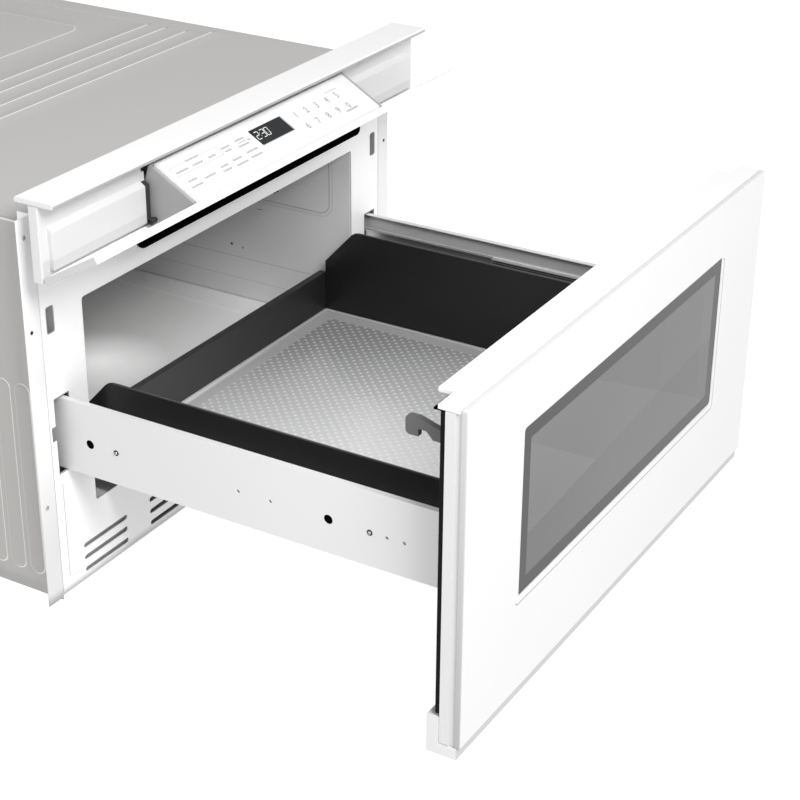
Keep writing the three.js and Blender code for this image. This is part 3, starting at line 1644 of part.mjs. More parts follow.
function controlBoard() {
  const inset = boardLedge + clearance;
  const bottom = -glassSheet - boardRecess + clearance;
  const along = [inset, glassLength - boardLedge * 2 - clearance];
  const plan = rounded([inset - glassHalf, glassHalf - inset], along, glassRadius);
  const display = rounded(lensSpanX, lensSpan, lensRadius);
  return join(
    glassPlate(plan, [bottom, bottom + boardSheet]),
    glassPlate(display, [bottom + boardSheet / 2, -glassSheet - clearance]),
  );
}

function hingePin(side) {
  const span = mirrored(side, [hingePinInner, hingePinOuter]);
  return rod("x", hingePinRadius, span, [tiltPlaceY, tiltPlaceZ], smallRoundSteps);
}

// Assembly

const microwaveDrawer = new THREE.Group();
microwaveDrawer.position.y = -cabinetDepth / 2;

const cabinet = new THREE.Group();
add(cabinet, "outer_wrap", outerWrap(), galvanised);
add(cabinet, "base_plate", basePlate(), galvanised);
add(cabinet, "back_panel", backPanel(), galvanised);
add(cabinet, "front_plate", frontPlate(), whitePaint);
add(cabinet, "top_visor", topVisor(), whitePaint);
add(cabinet, "bezel", bezel(), whitePaint);
add(cabinet, "reveal_strip", revealStrip(), blackPlastic);
add(cabinet, "oven_cavity", ovenCavity(), greyEnamel);
add(cabinet, "stirrer_cover", stirrerCover(), mica);
add(cabinet, "waveguide", waveguide(), galvanised);
add(cabinet, "stirrer_motor", stirrerMotor(), greyPlastic);
add(cabinet, "magnetron", magnetron(), aluminium);
add(cabinet, "air_duct", airDuct(), blackPlastic);
add(cabinet, "fan_housing", fanHousing(), blackPlastic);
add(cabinet, "fan_motor", fanMotor(), brightSteel);
add(cabinet, "transformer", transformer(), copper);
add(cabinet, "capacitor", capacitor(), aluminium);
add(cabinet, "power_board", powerBoard(), boardGreen);
add(cabinet, "cavity_stand", cavityStand(), galvanised);
add(cabinet, "lamp_holder", lampHolder(), brass);
add(cabinet, "cord_bushing", cordBushing(), rubber);
add(cabinet, "drive_motor", driveMotor(), brightSteel);
for (const [name, side] of both) {
  add(cabinet, name + "_mounting_flange", mountingFlange(side), whitePaint);
  add(cabinet, name + "_fixed_slide", fixedSlide(side), brightSteel);
  add(cabinet, name + "_switch_block", switchBlock(side), greyPlastic);
  add(cabinet, name + "_hinge_pin", hingePin(side), brightSteel);
}

const stirrerTurn = new THREE.Group();
stirrerTurn.position.y = stirrerPlace;
add(stirrerTurn, "stirrer", stirrer(), aluminium);

const fanTurn = new THREE.Group();
fanTurn.position.set(fanPlace, backInner - clearance - fanRingDepth - fanHubDepth / 2, fanHeight);
add(fanTurn, "fan_blade", fanBlade(), greyPlastic);

const pinionTurn = new THREE.Group();
pinionTurn.position.set(rackInner + pinionWidth / 2, pinionPlace, pinionAxis);
add(pinionTurn, "drive_pinion", drivePinion(), brass);

const drawer = new THREE.Group();
drawer.position.y = -drawerTravel;
const middleRails = new THREE.Group();
middleRails.position.y = -drawerTravel / 2;
for (const [name, side] of both) {
  add(middleRails, name + "_middle_slide", middleSlide(side), brightSteel);
  add(drawer, name + "_side_member", sideMember(side), whitePaint);
  add(drawer, name + "_drawer_slide", drawerSlide(side), brightSteel);
  add(drawer, name + "_latch_hook", latchHook(side), blackPlastic);
  add(drawer, name + "_tub_wall", tubWall(side), blackEnamel);
}
add(drawer, "drive_rack", driveRack(), brightSteel);
add(drawer, "rear_tub_wall", rearTubWall(), blackEnamel);
add(drawer, "tub_floor", tubFloor(), blackEnamel);
add(drawer, "glass_tray", glassTray(), clearGlass);
add(drawer, "door_frame", doorFrame(), whitePaint);
add(drawer, "door_front_panel", doorFrontPanel(), whitePaint);
add(drawer, "window_glass", windowGlass(), windowTint);
add(drawer, "window_screen", windowScreen(), blackEnamel);
add(drawer, "inner_door", innerDoor(), blackEnamel);
add(drawer, "inner_window_glass", innerWindowGlass(), clearGlass);
add(drawer, "door_bottom_trim", doorBottomTrim(), whitePaint);
add(drawer, "door_top_cap", doorTopCap(), whitePaint);

const panelTurn = new THREE.Group();
panelTurn.position.set(0, tiltPlaceY, tiltPlaceZ);
panelTurn.rotation.x = radians(tiltAngle);
const panel = new THREE.Group();
panel.position.set(0, -tiltPlaceY, -tiltPlaceZ);
panelTurn.add(panel);
add(panel, "panel_fascia", panelFascia(), whitePaint);
add(panel, "panel_housing", panelHousing(), greyPlastic);
add(panel, "control_glass", controlGlass(), whiteGlass);
add(panel, "display_lens", displayLens(), displayBlack);
add(panel, "control_board", controlBoard(), boardGreen);

microwaveDrawer.add(cabinet, stirrerTurn, fanTurn, pinionTurn, middleRails, drawer, panelTurn);

export default microwaveDrawer;
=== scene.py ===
import functools
import json
import math

import bmesh
import bpy
import numpy as np
from mathutils import Matrix, Vector

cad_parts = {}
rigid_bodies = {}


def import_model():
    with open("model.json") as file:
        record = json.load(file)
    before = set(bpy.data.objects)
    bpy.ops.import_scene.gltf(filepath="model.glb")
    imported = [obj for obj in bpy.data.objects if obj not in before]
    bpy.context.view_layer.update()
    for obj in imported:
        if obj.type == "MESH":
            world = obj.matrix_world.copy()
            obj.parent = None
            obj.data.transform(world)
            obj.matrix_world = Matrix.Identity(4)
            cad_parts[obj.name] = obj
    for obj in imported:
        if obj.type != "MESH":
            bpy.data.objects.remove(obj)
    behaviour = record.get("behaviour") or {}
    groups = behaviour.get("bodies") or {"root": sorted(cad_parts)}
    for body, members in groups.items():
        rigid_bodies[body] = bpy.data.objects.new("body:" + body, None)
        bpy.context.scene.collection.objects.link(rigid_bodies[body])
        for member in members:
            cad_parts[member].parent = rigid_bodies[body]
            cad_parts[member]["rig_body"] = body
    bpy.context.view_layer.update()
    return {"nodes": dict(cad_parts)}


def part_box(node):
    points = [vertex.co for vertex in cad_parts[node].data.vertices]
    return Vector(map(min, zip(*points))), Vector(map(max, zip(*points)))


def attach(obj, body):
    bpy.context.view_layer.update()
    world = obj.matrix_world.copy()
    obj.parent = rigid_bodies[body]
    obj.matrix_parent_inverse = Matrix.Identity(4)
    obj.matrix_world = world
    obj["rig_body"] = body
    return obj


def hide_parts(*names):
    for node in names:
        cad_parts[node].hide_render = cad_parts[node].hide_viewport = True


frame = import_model()
print("frame loaded:", len(frame["nodes"]), "nodes")

metre = 1000.0  # shapes below are in millimetres, X right, Y back from the front plate's face, Z up
frontY = -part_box("back_panel")[1][1] * metre


# lowest and highest corner of a CAD node
def boxOf(node):
    low, high = (np.array(corner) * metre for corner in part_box(node))
    return low - (0, frontY, 0), high - (0, frontY, 0)


cameraLook = {
    "place": (-1.411754, -1.298196, 0.971725),
    "yaw": 1.04,
    "pitch": 0.471,
    "roll": 0.008,
    "lens": 86.11,
}


def placeCamera():
    look = cameraLook
    yaw, pitch, roll = look["yaw"], look["pitch"], look["roll"]
    ahead = Vector((math.sin(yaw) * math.cos(pitch), math.cos(yaw) * math.cos(pitch), -math.sin(pitch)))
    level = Vector((math.cos(yaw), -math.sin(yaw), 0))
    above = level.cross(ahead)
    right = level * math.cos(roll) + above * math.sin(roll)
    up = above * math.cos(roll) - level * math.sin(roll)
    turn = Matrix((right, up, -ahead)).transposed().to_4x4()
    camera = bpy.data.objects.new("camera", bpy.data.cameras.new("camera"))
    camera.data.lens = look["lens"]
    camera.data.sensor_width = 36
    camera.data.clip_end = 60
    camera.matrix_world = Matrix.Translation(look["place"]) @ turn
    bpy.context.scene.collection.objects.link(camera)
    bpy.context.scene.camera = camera


lightLook = {
    "sky": 0.58,
    "floorColour": (0.15, 0.15, 0.15, 1),
    "floorGlow": 0.98,
    "floorHalf": 30,
    "lamps": [
        ("key", (-0.89, -1.8, 1.8), (0, -0.25, 0.2), 0.85, 41),  # place, target, size, power
    ],
}


def lightStage():
    look = lightLook
    world = bpy.data.worlds.new("studio")
    world.use_nodes = True
    world.node_tree.nodes["Background"].inputs["Color"].default_value = (1, 1, 1, 1)
    world.node_tree.nodes["Background"].inputs["Strength"].default_value = look["sky"]
    bpy.context.scene.world = world
    bpy.context.scene.view_settings.view_transform = "Standard"
    half = look["floorHalf"]
    mesh = bpy.data.meshes.new("floor")
    corners = [(-half, -half, 0), (half, -half, 0), (half, half, 0), (-half, half, 0)]
    mesh.from_pydata(corners, [], [(0, 1, 2, 3)])
    floor = bpy.data.objects.new("floor", mesh)
    bpy.context.scene.collection.objects.link(floor)
    paper = bpy.data.materials.new("paper")
    paper.use_nodes = True
    shader = paper.node_tree.nodes["Principled BSDF"]
    shader.inputs["Base Color"].default_value = look["floorColour"]
    shader.inputs["Roughness"].default_value = 1
    shader.inputs["Specular IOR Level"].default_value = 0
    shader.inputs["Emission Color"].default_value = (1, 1, 1, 1)
    shader.inputs["Emission Strength"].default_value = look["floorGlow"]
    mesh.materials.append(paper)
    for name, place, target, size, power in look["lamps"]:
        lamp = bpy.data.objects.new(name, bpy.data.lights.new(name, "AREA"))
        lamp.data.size = size
        lamp.data.energy = power
        away = Vector(place) - Vector(target)
        lamp.matrix_world = Matrix.Translation(place) @ away.to_track_quat("Z", "Y").to_matrix().to_4x4()
        bpy.context.scene.collection.objects.link(lamp)


placeCamera()
lightStage()
print("camera and light set")


# a node's output; sums on it add Math nodes
class Wire:
    def __init__(self, tree, socket=None):
        self.tree = tree
        self.socket = socket

    def node(self, kind, settings=None, sockets=None, out=0):
        made = self.tree.nodes.new("ShaderNode" + kind)
        for key, value in (settings or {}).items():
            setattr(made, key, value)
        for key, value in (sockets or {}).items():
            if isinstance(value, Wire):
                self.tree.links.new(value.socket, made.inputs[key])
            else:
                made.inputs[key].default_value = value
        return Wire(self.tree, made.outputs[out])

    def maths(self, operation, *inputs):
        return self.node("Math", {"operation": operation}, dict(enumerate(inputs)))

    def __add__(self, other):
        return self.maths("ADD", self, other)

    __radd__ = __add__

    def __sub__(self, other):
        return self.maths("SUBTRACT", self, other)

    def __rsub__(self, other):
        return self.maths("SUBTRACT", other, self)

    def __mul__(self, other):
        return self.maths("MULTIPLY", self, other)

    __rmul__ = __mul__

    def __truediv__(self, other):
        return self.maths("DIVIDE", self, other)

    def __pow__(self, other):
        return self.maths("POWER", self, other)

    def __abs__(self):
        return self.maths("ABSOLUTE", self)

    def least(self, other):
        return self.maths("MINIMUM", self, other)

    def most(self, other):
        return self.maths("MAXIMUM", self, other)

    # 0 below the edge and 1 above it, with a soft step between
    def above(self, edge, soft):
        spread = {"From Min": edge - soft, "From Max": edge + soft, "Value": self}
        return self.node("MapRange", {"interpolation_type": "SMOOTHSTEP"}, spread)

    # 1 between two values
    def within(self, low, high, soft):
        return self.above(low, soft) * (1 - self.above(high, soft))

    def spread(self, low, high):
        return self.node("MapRange", {}, {"Value": self, "To Min": low, "To Max": high})

    # from 0 at one value to 1 at another
    def ramp(self, start, end):
        return self.node("MapRange", {}, {"Value": self, "From Min": start, "From Max": end})

    # a sine wave along this value, with the given pitch
    def waves(self, pitch):
        turn = self * (2 * math.pi / pitch)
        return turn.maths("SINE", turn)

    def blend(self, first, second):
        return self.node("Mix", {"data_type": "RGBA"}, {0: self, 6: first, 7: second}, 2)

    # the object's own coordinates, each stretched by a factor
    def object(self, stretch=(1, 1, 1)):
        place = self.node("TexCoord", {}, {}, 3)
        return self.node("Mapping", {}, {"Vector": place, "Scale": stretch})

    def noise(self, scale, detail=2.0, rough=0.5, stretch=(1, 1, 1)):
        sockets = {"Vector": self.object(stretch), "Scale": scale, "Detail": detail, "Roughness": rough}
        return self.node("TexNoise", {}, sockets)

    # the place on the object, in millimetres from the front plate's face
    def axes(self):
        parts = self.node("SeparateXYZ", {}, {0: self.object()})
        x, y, z = (Wire(self.tree, parts.socket.node.outputs[i]) * metre for i in range(3))
        return x, y - frontY, z

    def bump(self, height, distance, strength=1.0):
        return self.node("Bump", {}, {"Height": height, "Distance": distance, "Strength": strength})


# distance from a rounded rectangle's outline, below zero inside it; a and b are arrays or wires
def roundedDistance(a, b, middle, half, radius):
    qa = abs(a - middle[0]) - (half[0] - radius)
    qb = abs(b - middle[1]) - (half[1] - radius)
    if isinstance(a, Wire):
        outside = (qa.most(0) ** 2 + qb.most(0) ** 2) ** 0.5
        return outside + qa.most(qb).least(0) - radius
    outside = np.hypot(np.maximum(qa, 0), np.maximum(qb, 0))
    return outside + np.minimum(np.maximum(qa, qb), 0) - radius


# 1 on a line of the given half width along a distance of zero
def lineMask(distance, half, soft=0.3):
    return 1 - abs(distance).above(half, soft)


# the highest of several masks
def strongest(masks):
    return functools.reduce(Wire.most, masks)


def grey(value):
    return (value, value, value, 1)


# a material whose Principled sockets come from a function of a bare wire
def makeFinish(name, sockets):
    material = bpy.data.materials.new(name)
    material.use_nodes = True
    tree = material.node_tree
    shader = tree.nodes["Principled BSDF"]
    for key, value in sockets(Wire(tree)).items():
        if isinstance(value, Wire):
            tree.links.new(value.socket, shader.inputs[key])
        else:
            shader.inputs[key].default_value = value
    return material


# the same white paint in lit and shaded copies: each kind's whiteness is painted light or painted shade, the door
# and members darker, the plate, trim and cap paler
paintLook = {
    "trim": 0.96,
    "door": 0.72,
    "cap": 0.93,
    "member": 0.71,
    "plate": 0.95,
    "spread": 0.01,
    "rough": (0.28, 0.36),
}


# gloss paint of a given whiteness: a faint ripple and a hardly visible unevenness of tone
def paint(kind):
    def sockets(w):
        tone, spread = paintLook[kind], paintLook["spread"]
        return {
            "Base Color": w.noise(9, 3).blend(grey(tone - spread), grey(tone + spread)),
            "Roughness": w.noise(30).spread(*paintLook["rough"]),
            "Normal": w.bump(w.noise(420, 1), 0.00002, 0.4),
        }

    return sockets


plateLook = {
    "fold": (10.0, 6.5),  # height of the rolled lower edge, painted grey as shade, and its soft border
    "foldColour": (0.36, 0.36, 0.355, 1),
    "foldRough": 0.1,
    "cuts": [  # middle x and z, half width and height, corner, strength of the painted shade line along the cut edge
        (267.5, 280.65, 4.8, 12.4, 2.0, 0.9),
        (261.3, 166.9, 10.0, 37.6, 0.3, 0.9),
        (0, 183.0, 224.3, 102.5, 3.0, 0.6),
    ],
    "crest": (267.0, 255.0, 19.5, 118.5, 2.0),  # painted shade lines of the crest: upright's x, foot's x, foot's z, top, width
    "crestStrength": 0.85,
    "flange": (279.7, 0.71, 0.99, (60, 330)),  # where the flanges start, tones low and high of their painted shade and light, heights
    # strength of the painted shade line where the flanges start; lineTone is the tone of all the painted shade
    # lines
    "flangeLine": 0.45,
    "lineTone": 0.16,
    "lift": (0.05, 0.09),  # painted light glowing from the plate, and what is added under the visor
    "liftFrom": (262, 40),
}


# the front plate's paint: painted shade in grey at its rolled lower edge and in thin dark lines where a cut edge
# shows, along the crest and where the flanges start; the flanges painted darker low down and paler high up; and
# painted light glowing from the plate
def platePaint(w):
    look = plateLook
    x, y, z = w.axes()
    side = abs(x)
    base = paint("plate")(w)
    edges = []
    for middleX, middleZ, halfX, halfZ, corner, strength in look["cuts"]:
        distance = roundedDistance(side, z, (middleX, middleZ), (halfX, halfZ), corner)
        edges.append(lineMask(distance, 0.55, 0.25) * strength)
    upright, foot, low, high, width = look["crest"]
    crestShade = lineMask(side - upright + 0.1, 0.35) + lineMask(side - upright - width - 0.1, 0.3) * 0.7
    crestShade = crestShade * z.within(low + 2, high, 0.8)
    footShade = lineMask(z - low + 0.1, 0.4) * side.within(foot, upright + width, 0.8)
    edges.append((crestShade + footShade) * look["crestStrength"])
    start, low, high, span = look["flange"]
    onFlange = side.above(start, 0.15)
    edges.append(lineMask(side - start, 0.4) * look["flangeLine"])
    ground = onFlange.blend(base["Base Color"], z.ramp(*span).blend(grey(low), grey(high)))
    colour = strongest(edges).blend(ground, grey(look["lineTone"]))
    fold = 1 - z.above(*look["fold"])
    base["Base Color"] = fold.blend(colour, look["foldColour"])
    base["Roughness"] = base["Roughness"] + fold * look["foldRough"]
    low, added = look["lift"]
    glow = (low + added * z.above(*look["liftFrom"])) * (1 - onFlange)
    base["Emission Color"] = glow.blend(grey(0), grey(1))
    base["Emission Strength"] = 1.0
    return base


# tones of the white plastic, set per part as painted shade where the lamps leave its front faces too bright
mouldingLook = {
    "bezel": 0.63,
    "trim": 0.76,
    "spread": 0.012,
    "rough": (0.36, 0.46),
    "block": (0.72, 352, 300.5),  # painted light: tone of the raised blocks and end faces, paler than the lower band; the blocks' foot, the ends' x
    "hinge": (155.0, 167.2, -27.6, 392, 0.03),  # painted shade in the gap beside the housing: x from and to, face, top, tone
    "lip": (12.6, -427.6, 0.50),  # top, face and tone of the painted shade on the bottom trim's lip
}


# satin white plastic
def whiteMoulding(kind):
    def sockets(w):
        tone, spread = mouldingLook[kind], mouldingLook["spread"]
        return {
            "Base Color": w.noise(14).blend(grey(tone - spread), grey(tone + spread)),
            "Roughness": w.noise(50).spread(*mouldingLook["rough"]),
            "Normal": w.bump(w.noise(700), 0.00003, 0.35),
        }

    return sockets


# the bezel: its lower band painted darker and the rest paler as painted shade and light, and painted shade where
# the control panel's housing comes through
def bezelMoulding(w):
    x, y, z = w.axes()
    side = abs(x)
    base = whiteMoulding("bezel")(w)
    tone, foot, end = mouldingLook["block"]
    raised = z.above(foot, 1).most(side.above(end, 0.3))
    colour = raised.blend(base["Base Color"], grey(tone))
    near, far, face, top, dark = mouldingLook["hinge"]
    gapShade = side.within(near, far, 0.2) * (1 - y.above(face, 0.2)) * (1 - z.above(top, 0.5))
    base["Base Color"] = gapShade.blend(colour, grey(dark))
    return base


# the door's bottom trim, whose rolled lip is painted darker as the door's own shade
def trimMoulding(w):
    x, y, z = w.axes()
    height, face, tone = mouldingLook["lip"]
    base = whiteMoulding("trim")(w)
    lip = (1 - z.above(height, 0.6)) * (1 - y.above(face, 0.4))
    base["Base Color"] = lip.blend(base["Base Color"], grey(tone))
    return base


# painted shade on faces that lie in shade: the visor's front edge and ends, the fascia's and the door panel's end
# faces, and a line at the window's opening
faceLook = {
    "visorFront": (-42.6, 405.2, 0.46),  # face's y, its top, tone of its painted shade
    "visorEnd": (boxOf("top_visor")[1][0] - 0.6, 0.76),
    "fasciaEnd": (302.7, 0.60),
    "doorEnd": (302.4, 0.44, 0.62),  # start, tone of the painted shade at the foot and at the top
    "doorSpan": (14, 322),
    "opening": (0, 181.5, 210.5, 80.5, 3.0),  # middle x and z, half width and height, corner
    "openingLine": (0.4, 0.5, 0.8, 0.06),  # distance, half width, strength, tone of the painted shade line
}


# the visor: painted shade on its front edge and its end faces
def visorPaint(w):
    x, y, z = w.axes()
    front, top, tone = faceLook["visorFront"]
    base = paint("trim")(w)
    shade = (1 - y.above(front, 0.3)) * (1 - z.above(top, 0.3))
    colour = shade.blend(base["Base Color"], grey(tone))
    start, tone = faceLook["visorEnd"]
    base["Base Color"] = abs(x).above(start, 0.2).blend(colour, grey(tone))
    return base


# the fascia: painted shade on its end faces
def fasciaPaint(w):
    x, y, z = w.axes()
    start, tone = faceLook["fasciaEnd"]
    base = paint("trim")(w)
    base["Base Color"] = abs(x).above(start, 0.2).blend(base["Base Color"], grey(tone))
    return base


# the door's front panel: painted shade on its end faces, darker towards the foot, and a thin painted shade line
# right of and below the window's opening
def doorPaint(w):
    look = faceLook
    x, y, z = w.axes()
    start, low, high = look["doorEnd"]
    base = paint("door")(w)
    end = z.ramp(*look["doorSpan"]).blend(grey(low), grey(high))
    colour = abs(x).above(start, 0.2).blend(base["Base Color"], end)
    middleX, middleZ, halfX, halfZ, corner = look["opening"]
    away = roundedDistance(x, z, (middleX, middleZ), (halfX, halfZ), corner)
    shadedSide = x.above(halfX - 3, 1).most(1 - z.above(middleZ - halfZ + 3, 1))
    distance, half, strength, tone = look["openingLine"]
    line = lineMask(away - distance, half) * shadedSide
    base["Base Color"] = (line * strength).blend(colour, grey(tone))
    return base


memberLook = {
    "lit": (-330, -60, 0.6, 0.82),  # painted light, paler on the front part: from y, to y, strength, tone
    "bare": (260.9, 186, 200.4, 0.42, 0.48),  # unpainted inside: side, low and high, darker and lighter tone
}


# the side members: painted light, paler towards the front, and bare sheet where their inner faces are not painted
def memberPaint(w):
    x, y, z = w.axes()
    base = paint("member")(w)
    front, rear, strength, tone = memberLook["lit"]
    colour = ((1 - y.ramp(front, rear)) * strength).blend(base["Base Color"], grey(tone))
    side, low, high, dark, light = memberLook["bare"]
    inner = (1 - abs(x).above(side, 0.1)) * z.within(low, high, 0.2)
    base["Base Color"] = inner.blend(colour, w.noise(900, 3).blend(grey(dark), grey(light)))
    return base


sheetLook = {
    "dark": (0.43, 0.423, 0.411, 1),
    "light": (0.46, 0.453, 0.441, 1),
    # painted light: the wrap's top is paler than its sides, and line is the tone of the painted highlights on its
    # beads, pads and seam
    "top": (0.585, 0.578, 0.566, 1),
    "line": (0.86, 0.86, 0.85, 1),
    "topGrain": 0.35,
    "dash": (0.75, 0.16),  # strength and tone of the painted shadow past each bead's end
}


def sheetGrain(w):
    return w.noise(1500, 3, 0.7, (1, 0.35, 1))


# coated sheet: fine grain, drawn a little along the roll
def galvanisedSheet(w):
    look = sheetLook
    grain = sheetGrain(w)
    tone = grain * 0.7 + w.noise(5) * 0.3
    return {
        "Base Color": tone.blend(look["dark"], look["light"]),
        "Metallic": 0.2,
        "Roughness": grain.spread(0.42, 0.52),
        "Normal": w.bump(grain, 0.00002, 0.4),
    }


# the outer wrap: the sheet, its top painted paler than its sides, with painted highlights along its bead lines, pad
# outlines and side seam, and a painted shadow past each bead's end
def beadedSheet(w):
    look = wrapLook
    x, y, z = w.axes()
    side = abs(x)
    half, shift = look["lineHalf"], look["lineShift"]
    lines, endShadows = [], []
    for place, reach in look["across"]:
        lines.append(lineMask(y - place + shift, half) * (1 - side.above(reach, 3)))
        dash = roundedDistance(side, y, (reach + look["dashGap"], place - shift), look["dash"], 0.5)
        endShadows.append(1 - dash.above(0, 0.3))
    width, front, rear, corner = look["frame"]
    frameLine = roundedDistance(x, y, (0, (front + rear) / 2), (width, (rear - front) / 2), corner)
    lines.append(lineMask(frameLine - 0.5, half))
    place, front, rear = look["edge"]
    lines.append(lineMask(side - place - 0.5, half) * y.within(front, rear, 2))
    onTop = z.above(look["flatTop"], 0.1)
    first, pitch, padWidth, count = look["pads"]
    low, high = look["padSpan"]
    local = (y - first).maths("MODULO", y - first, pitch) - padWidth / 2
    inRow = y.within(first - 2, first + count * pitch - 3, 0.1)
    padHalf = (padWidth / 2, (high - low) / 2)
    padLine = lineMask(roundedDistance(local, z, (0, (low + high) / 2), padHalf, padWidth / 2), 0.6)
    facing = 0.25 + 0.75 * (1 - local.above(1.5, 3))
    padLine = padLine * inRow * facing * look["padShine"]
    seam = z.within(*look["seam"], 0.25) * look["seamShine"]
    sideLine = padLine.most(seam) * (1 - onTop)
    base = galvanisedSheet(w)
    bright = (strongest(lines) * onTop + sideLine).least(1)
    sheet = onTop.blend(base["Base Color"], sheetLook["top"])
    grained = (sheetGrain(w) * onTop * sheetLook["topGrain"]).blend(sheet, base["Base Color"])
    colour = bright.blend(grained, sheetLook["line"])
    strength, tone = sheetLook["dash"]
    base["Base Color"] = (strongest(endShadows) * onTop * strength).blend(colour, grey(tone))
    return base


# rolled steel, drawn along the part's depth
def drawnGrain(w):
    return w.noise(1400, 3, 0.6, (1, 0.02, 1))


def brightSteel(w):
    drawn = drawnGrain(w)
    return {
        "Base Color": drawn.blend((0.36, 0.36, 0.36, 1), (0.46, 0.46, 0.457, 1)),
        "Metallic": 0.9,
        "Roughness": drawn.spread(0.28, 0.38),
        "Normal": w.bump(drawn, 0.00002, 0.3),
    }


def blackEnamel(w):
    return {
        "Base Color": w.noise(12).blend(grey(0.009), grey(0.013)),
        "Roughness": w.noise(60, 3).spread(0.36, 0.44),
        "Specular IOR Level": 0.4,
        "Normal": w.bump(w.noise(800), 0.00003, 0.4),
    }


slideLook = {
    "tones": (0.58, 0.68),
    "pitch": 2.4,
    "track": (179.5, 186, -159),  # low, high and rear end of the balls' track
    "strength": 0.8,
    "lineTone": 0.05,
}


# the slides' steel, with thin dark lines of painted shade in the grooves of their balls' track, bright between them
def slideSteel(w):
    look = slideLook
    x, y, z = w.axes()
    base = brightSteel(w)
    dark, light = look["tones"]
    colour = drawnGrain(w).blend(grey(dark), grey(light))
    low, high, rear = look["track"]
    track = z.within(low, high, 0.2) * (1 - y.above(rear, 4))
    lines = z.waves(look["pitch"]).above(0, 0.4) * track * look["strength"]
    base["Base Color"] = lines.blend(colour, grey(look["lineTone"]))
    return base


tubLook = {
    "topLine": (199.2, 0.35),  # height and softness of the painted highlight along the upper edge
    "edge": (0.75, 0.085),  # its strength and tone
    "fade": (-180, 205),  # the rear wall's painted light and reflection run from one x to the other, paler at the left
    "near": 0.062,
    "far": 0.012,
}


# the tub's walls: enamel, with a painted highlight along the cut upper edge
def tubEnamel(w):
    x, y, z = w.axes()
    base = blackEnamel(w)
    strength, tone = tubLook["edge"]
    top = z.above(*tubLook["topLine"]) * strength
    base["Base Color"] = top.blend(base["Base Color"], grey(tone))
    return base


# the tub's rear wall: painted light and reflection, paler at its left, for the light from the front and left
def rearEnamel(w):
    look = tubLook
    x, y, z = w.axes()
    fade = x.ramp(*look["fade"]) * 0.9 + w.noise(12) * 0.1
    return {
        "Base Color": fade.blend(grey(look["near"]), grey(look["far"])),
        "Roughness": w.noise(60, 3).spread(0.4, 0.5),
        "Specular IOR Level": 0.4,
        "Normal": w.bump(w.noise(800), 0.00003, 0.4),
    }


cavityLook = {
    "dark": (0.74, 0.743, 0.743, 1),
    "light": (0.78, 0.783, 0.783, 1),
    "floor": (0.84, 0.36, (8, 184), (6, 75)),  # tone of the floor, painted paler than the walls, strength of the painted light glowing on it, its place and reach
    "frameLine": (207.8, 274.0, 27.6, 402.0, 12.0),  # painted shade along the pressed frame line: low, high, front, rear, corner
    "levels": [(106.0, 0.25), (131.8, 0.35), (83.5, 0.55)],  # height and strength of the painted shade along the pressed level lines
    "lineTone": 0.20,
    "floorLine": (189.3, 121, 305),  # painted highlight along the floor's crease: x, front, rear
}


# speckled enamel, with painted shade along the pressed lines of its side walls, a painted highlight along the
# floor's crease, the floor painted paler, and painted light glowing on the floor near the front
def greyEnamel(w):
    look = cavityLook
    x, y, z = w.axes()
    speck = w.noise(1600, 2, 0.6)
    tone = w.noise(10) * 0.7 + speck * 0.3
    low, high, front, rear, corner = look["frameLine"]
    middle = ((front + rear) / 2, (low + high) / 2)
    distance = roundedDistance(y, z, middle, ((rear - front) / 2, (high - low) / 2), corner)
    onWall = abs(x).above(222, 0.5)
    lines = lineMask(distance, 0.7) * 0.5
    lines = lines.most(lineMask(distance - 4, 0.5) * 0.25)
    for height, strength in look["levels"]:
        lines = lines.most(lineMask(z - height, 0.5) * strength)
    colour = tone.blend(look["dark"], look["light"])
    colour = (lines * onWall).blend(colour, grey(look["lineTone"]))
    place, front, rear = look["floorLine"]
    onFloor = 1 - z.above(82.5, 0.3)
    crease = lineMask(x - place, 2.2, 1.5) * y.within(front, rear, 12) * onFloor
    tone, added, place, span = look["floor"]
    colour = onFloor.blend(colour, grey(tone))
    away = ((x - place[0]) ** 2 + (y - place[1]) ** 2) ** 0.5
    glow = (1 - away.ramp(*span)) * onFloor * added
    return {
        "Base Color": (crease * 0.6).blend(colour, grey(0.93)),
        "Emission Color": glow.blend(grey(0), grey(1)),
        "Emission Strength": 1.0,
        "Roughness": speck.spread(0.34, 0.44),
        "Normal": w.bump(speck, 0.00002, 0.5),
    }


# plastic, print or plain enamel with a fine grain
def moulded(name, dark, light, roughness=(0.45, 0.58), scale=900, shine=0.5):
    def sockets(w):
        grain = w.noise(scale, 3, 0.6)
        return {
            "Base Color": (grain * 0.5 + w.noise(16) * 0.5).blend(dark, light),
            "Roughness": grain.spread(*roughness),
            "Specular IOR Level": shine,
            "Normal": w.bump(grain, 0.00004, 0.4),
        }

    return makeFinish(name, sockets)


# bare metal, brushed upwards
def plainMetal(name, dark, light, roughness=(0.3, 0.45)):
    def sockets(w):
        grain = w.noise(1100, 3, 0.6, (1, 1, 0.1))
        return {
            "Base Color": grain.blend(dark, light),
            "Metallic": 1.0,
            "Roughness": grain.spread(*roughness),
            "Normal": w.bump(grain, 0.00002, 0.5),
        }

    return makeFinish(name, sockets)


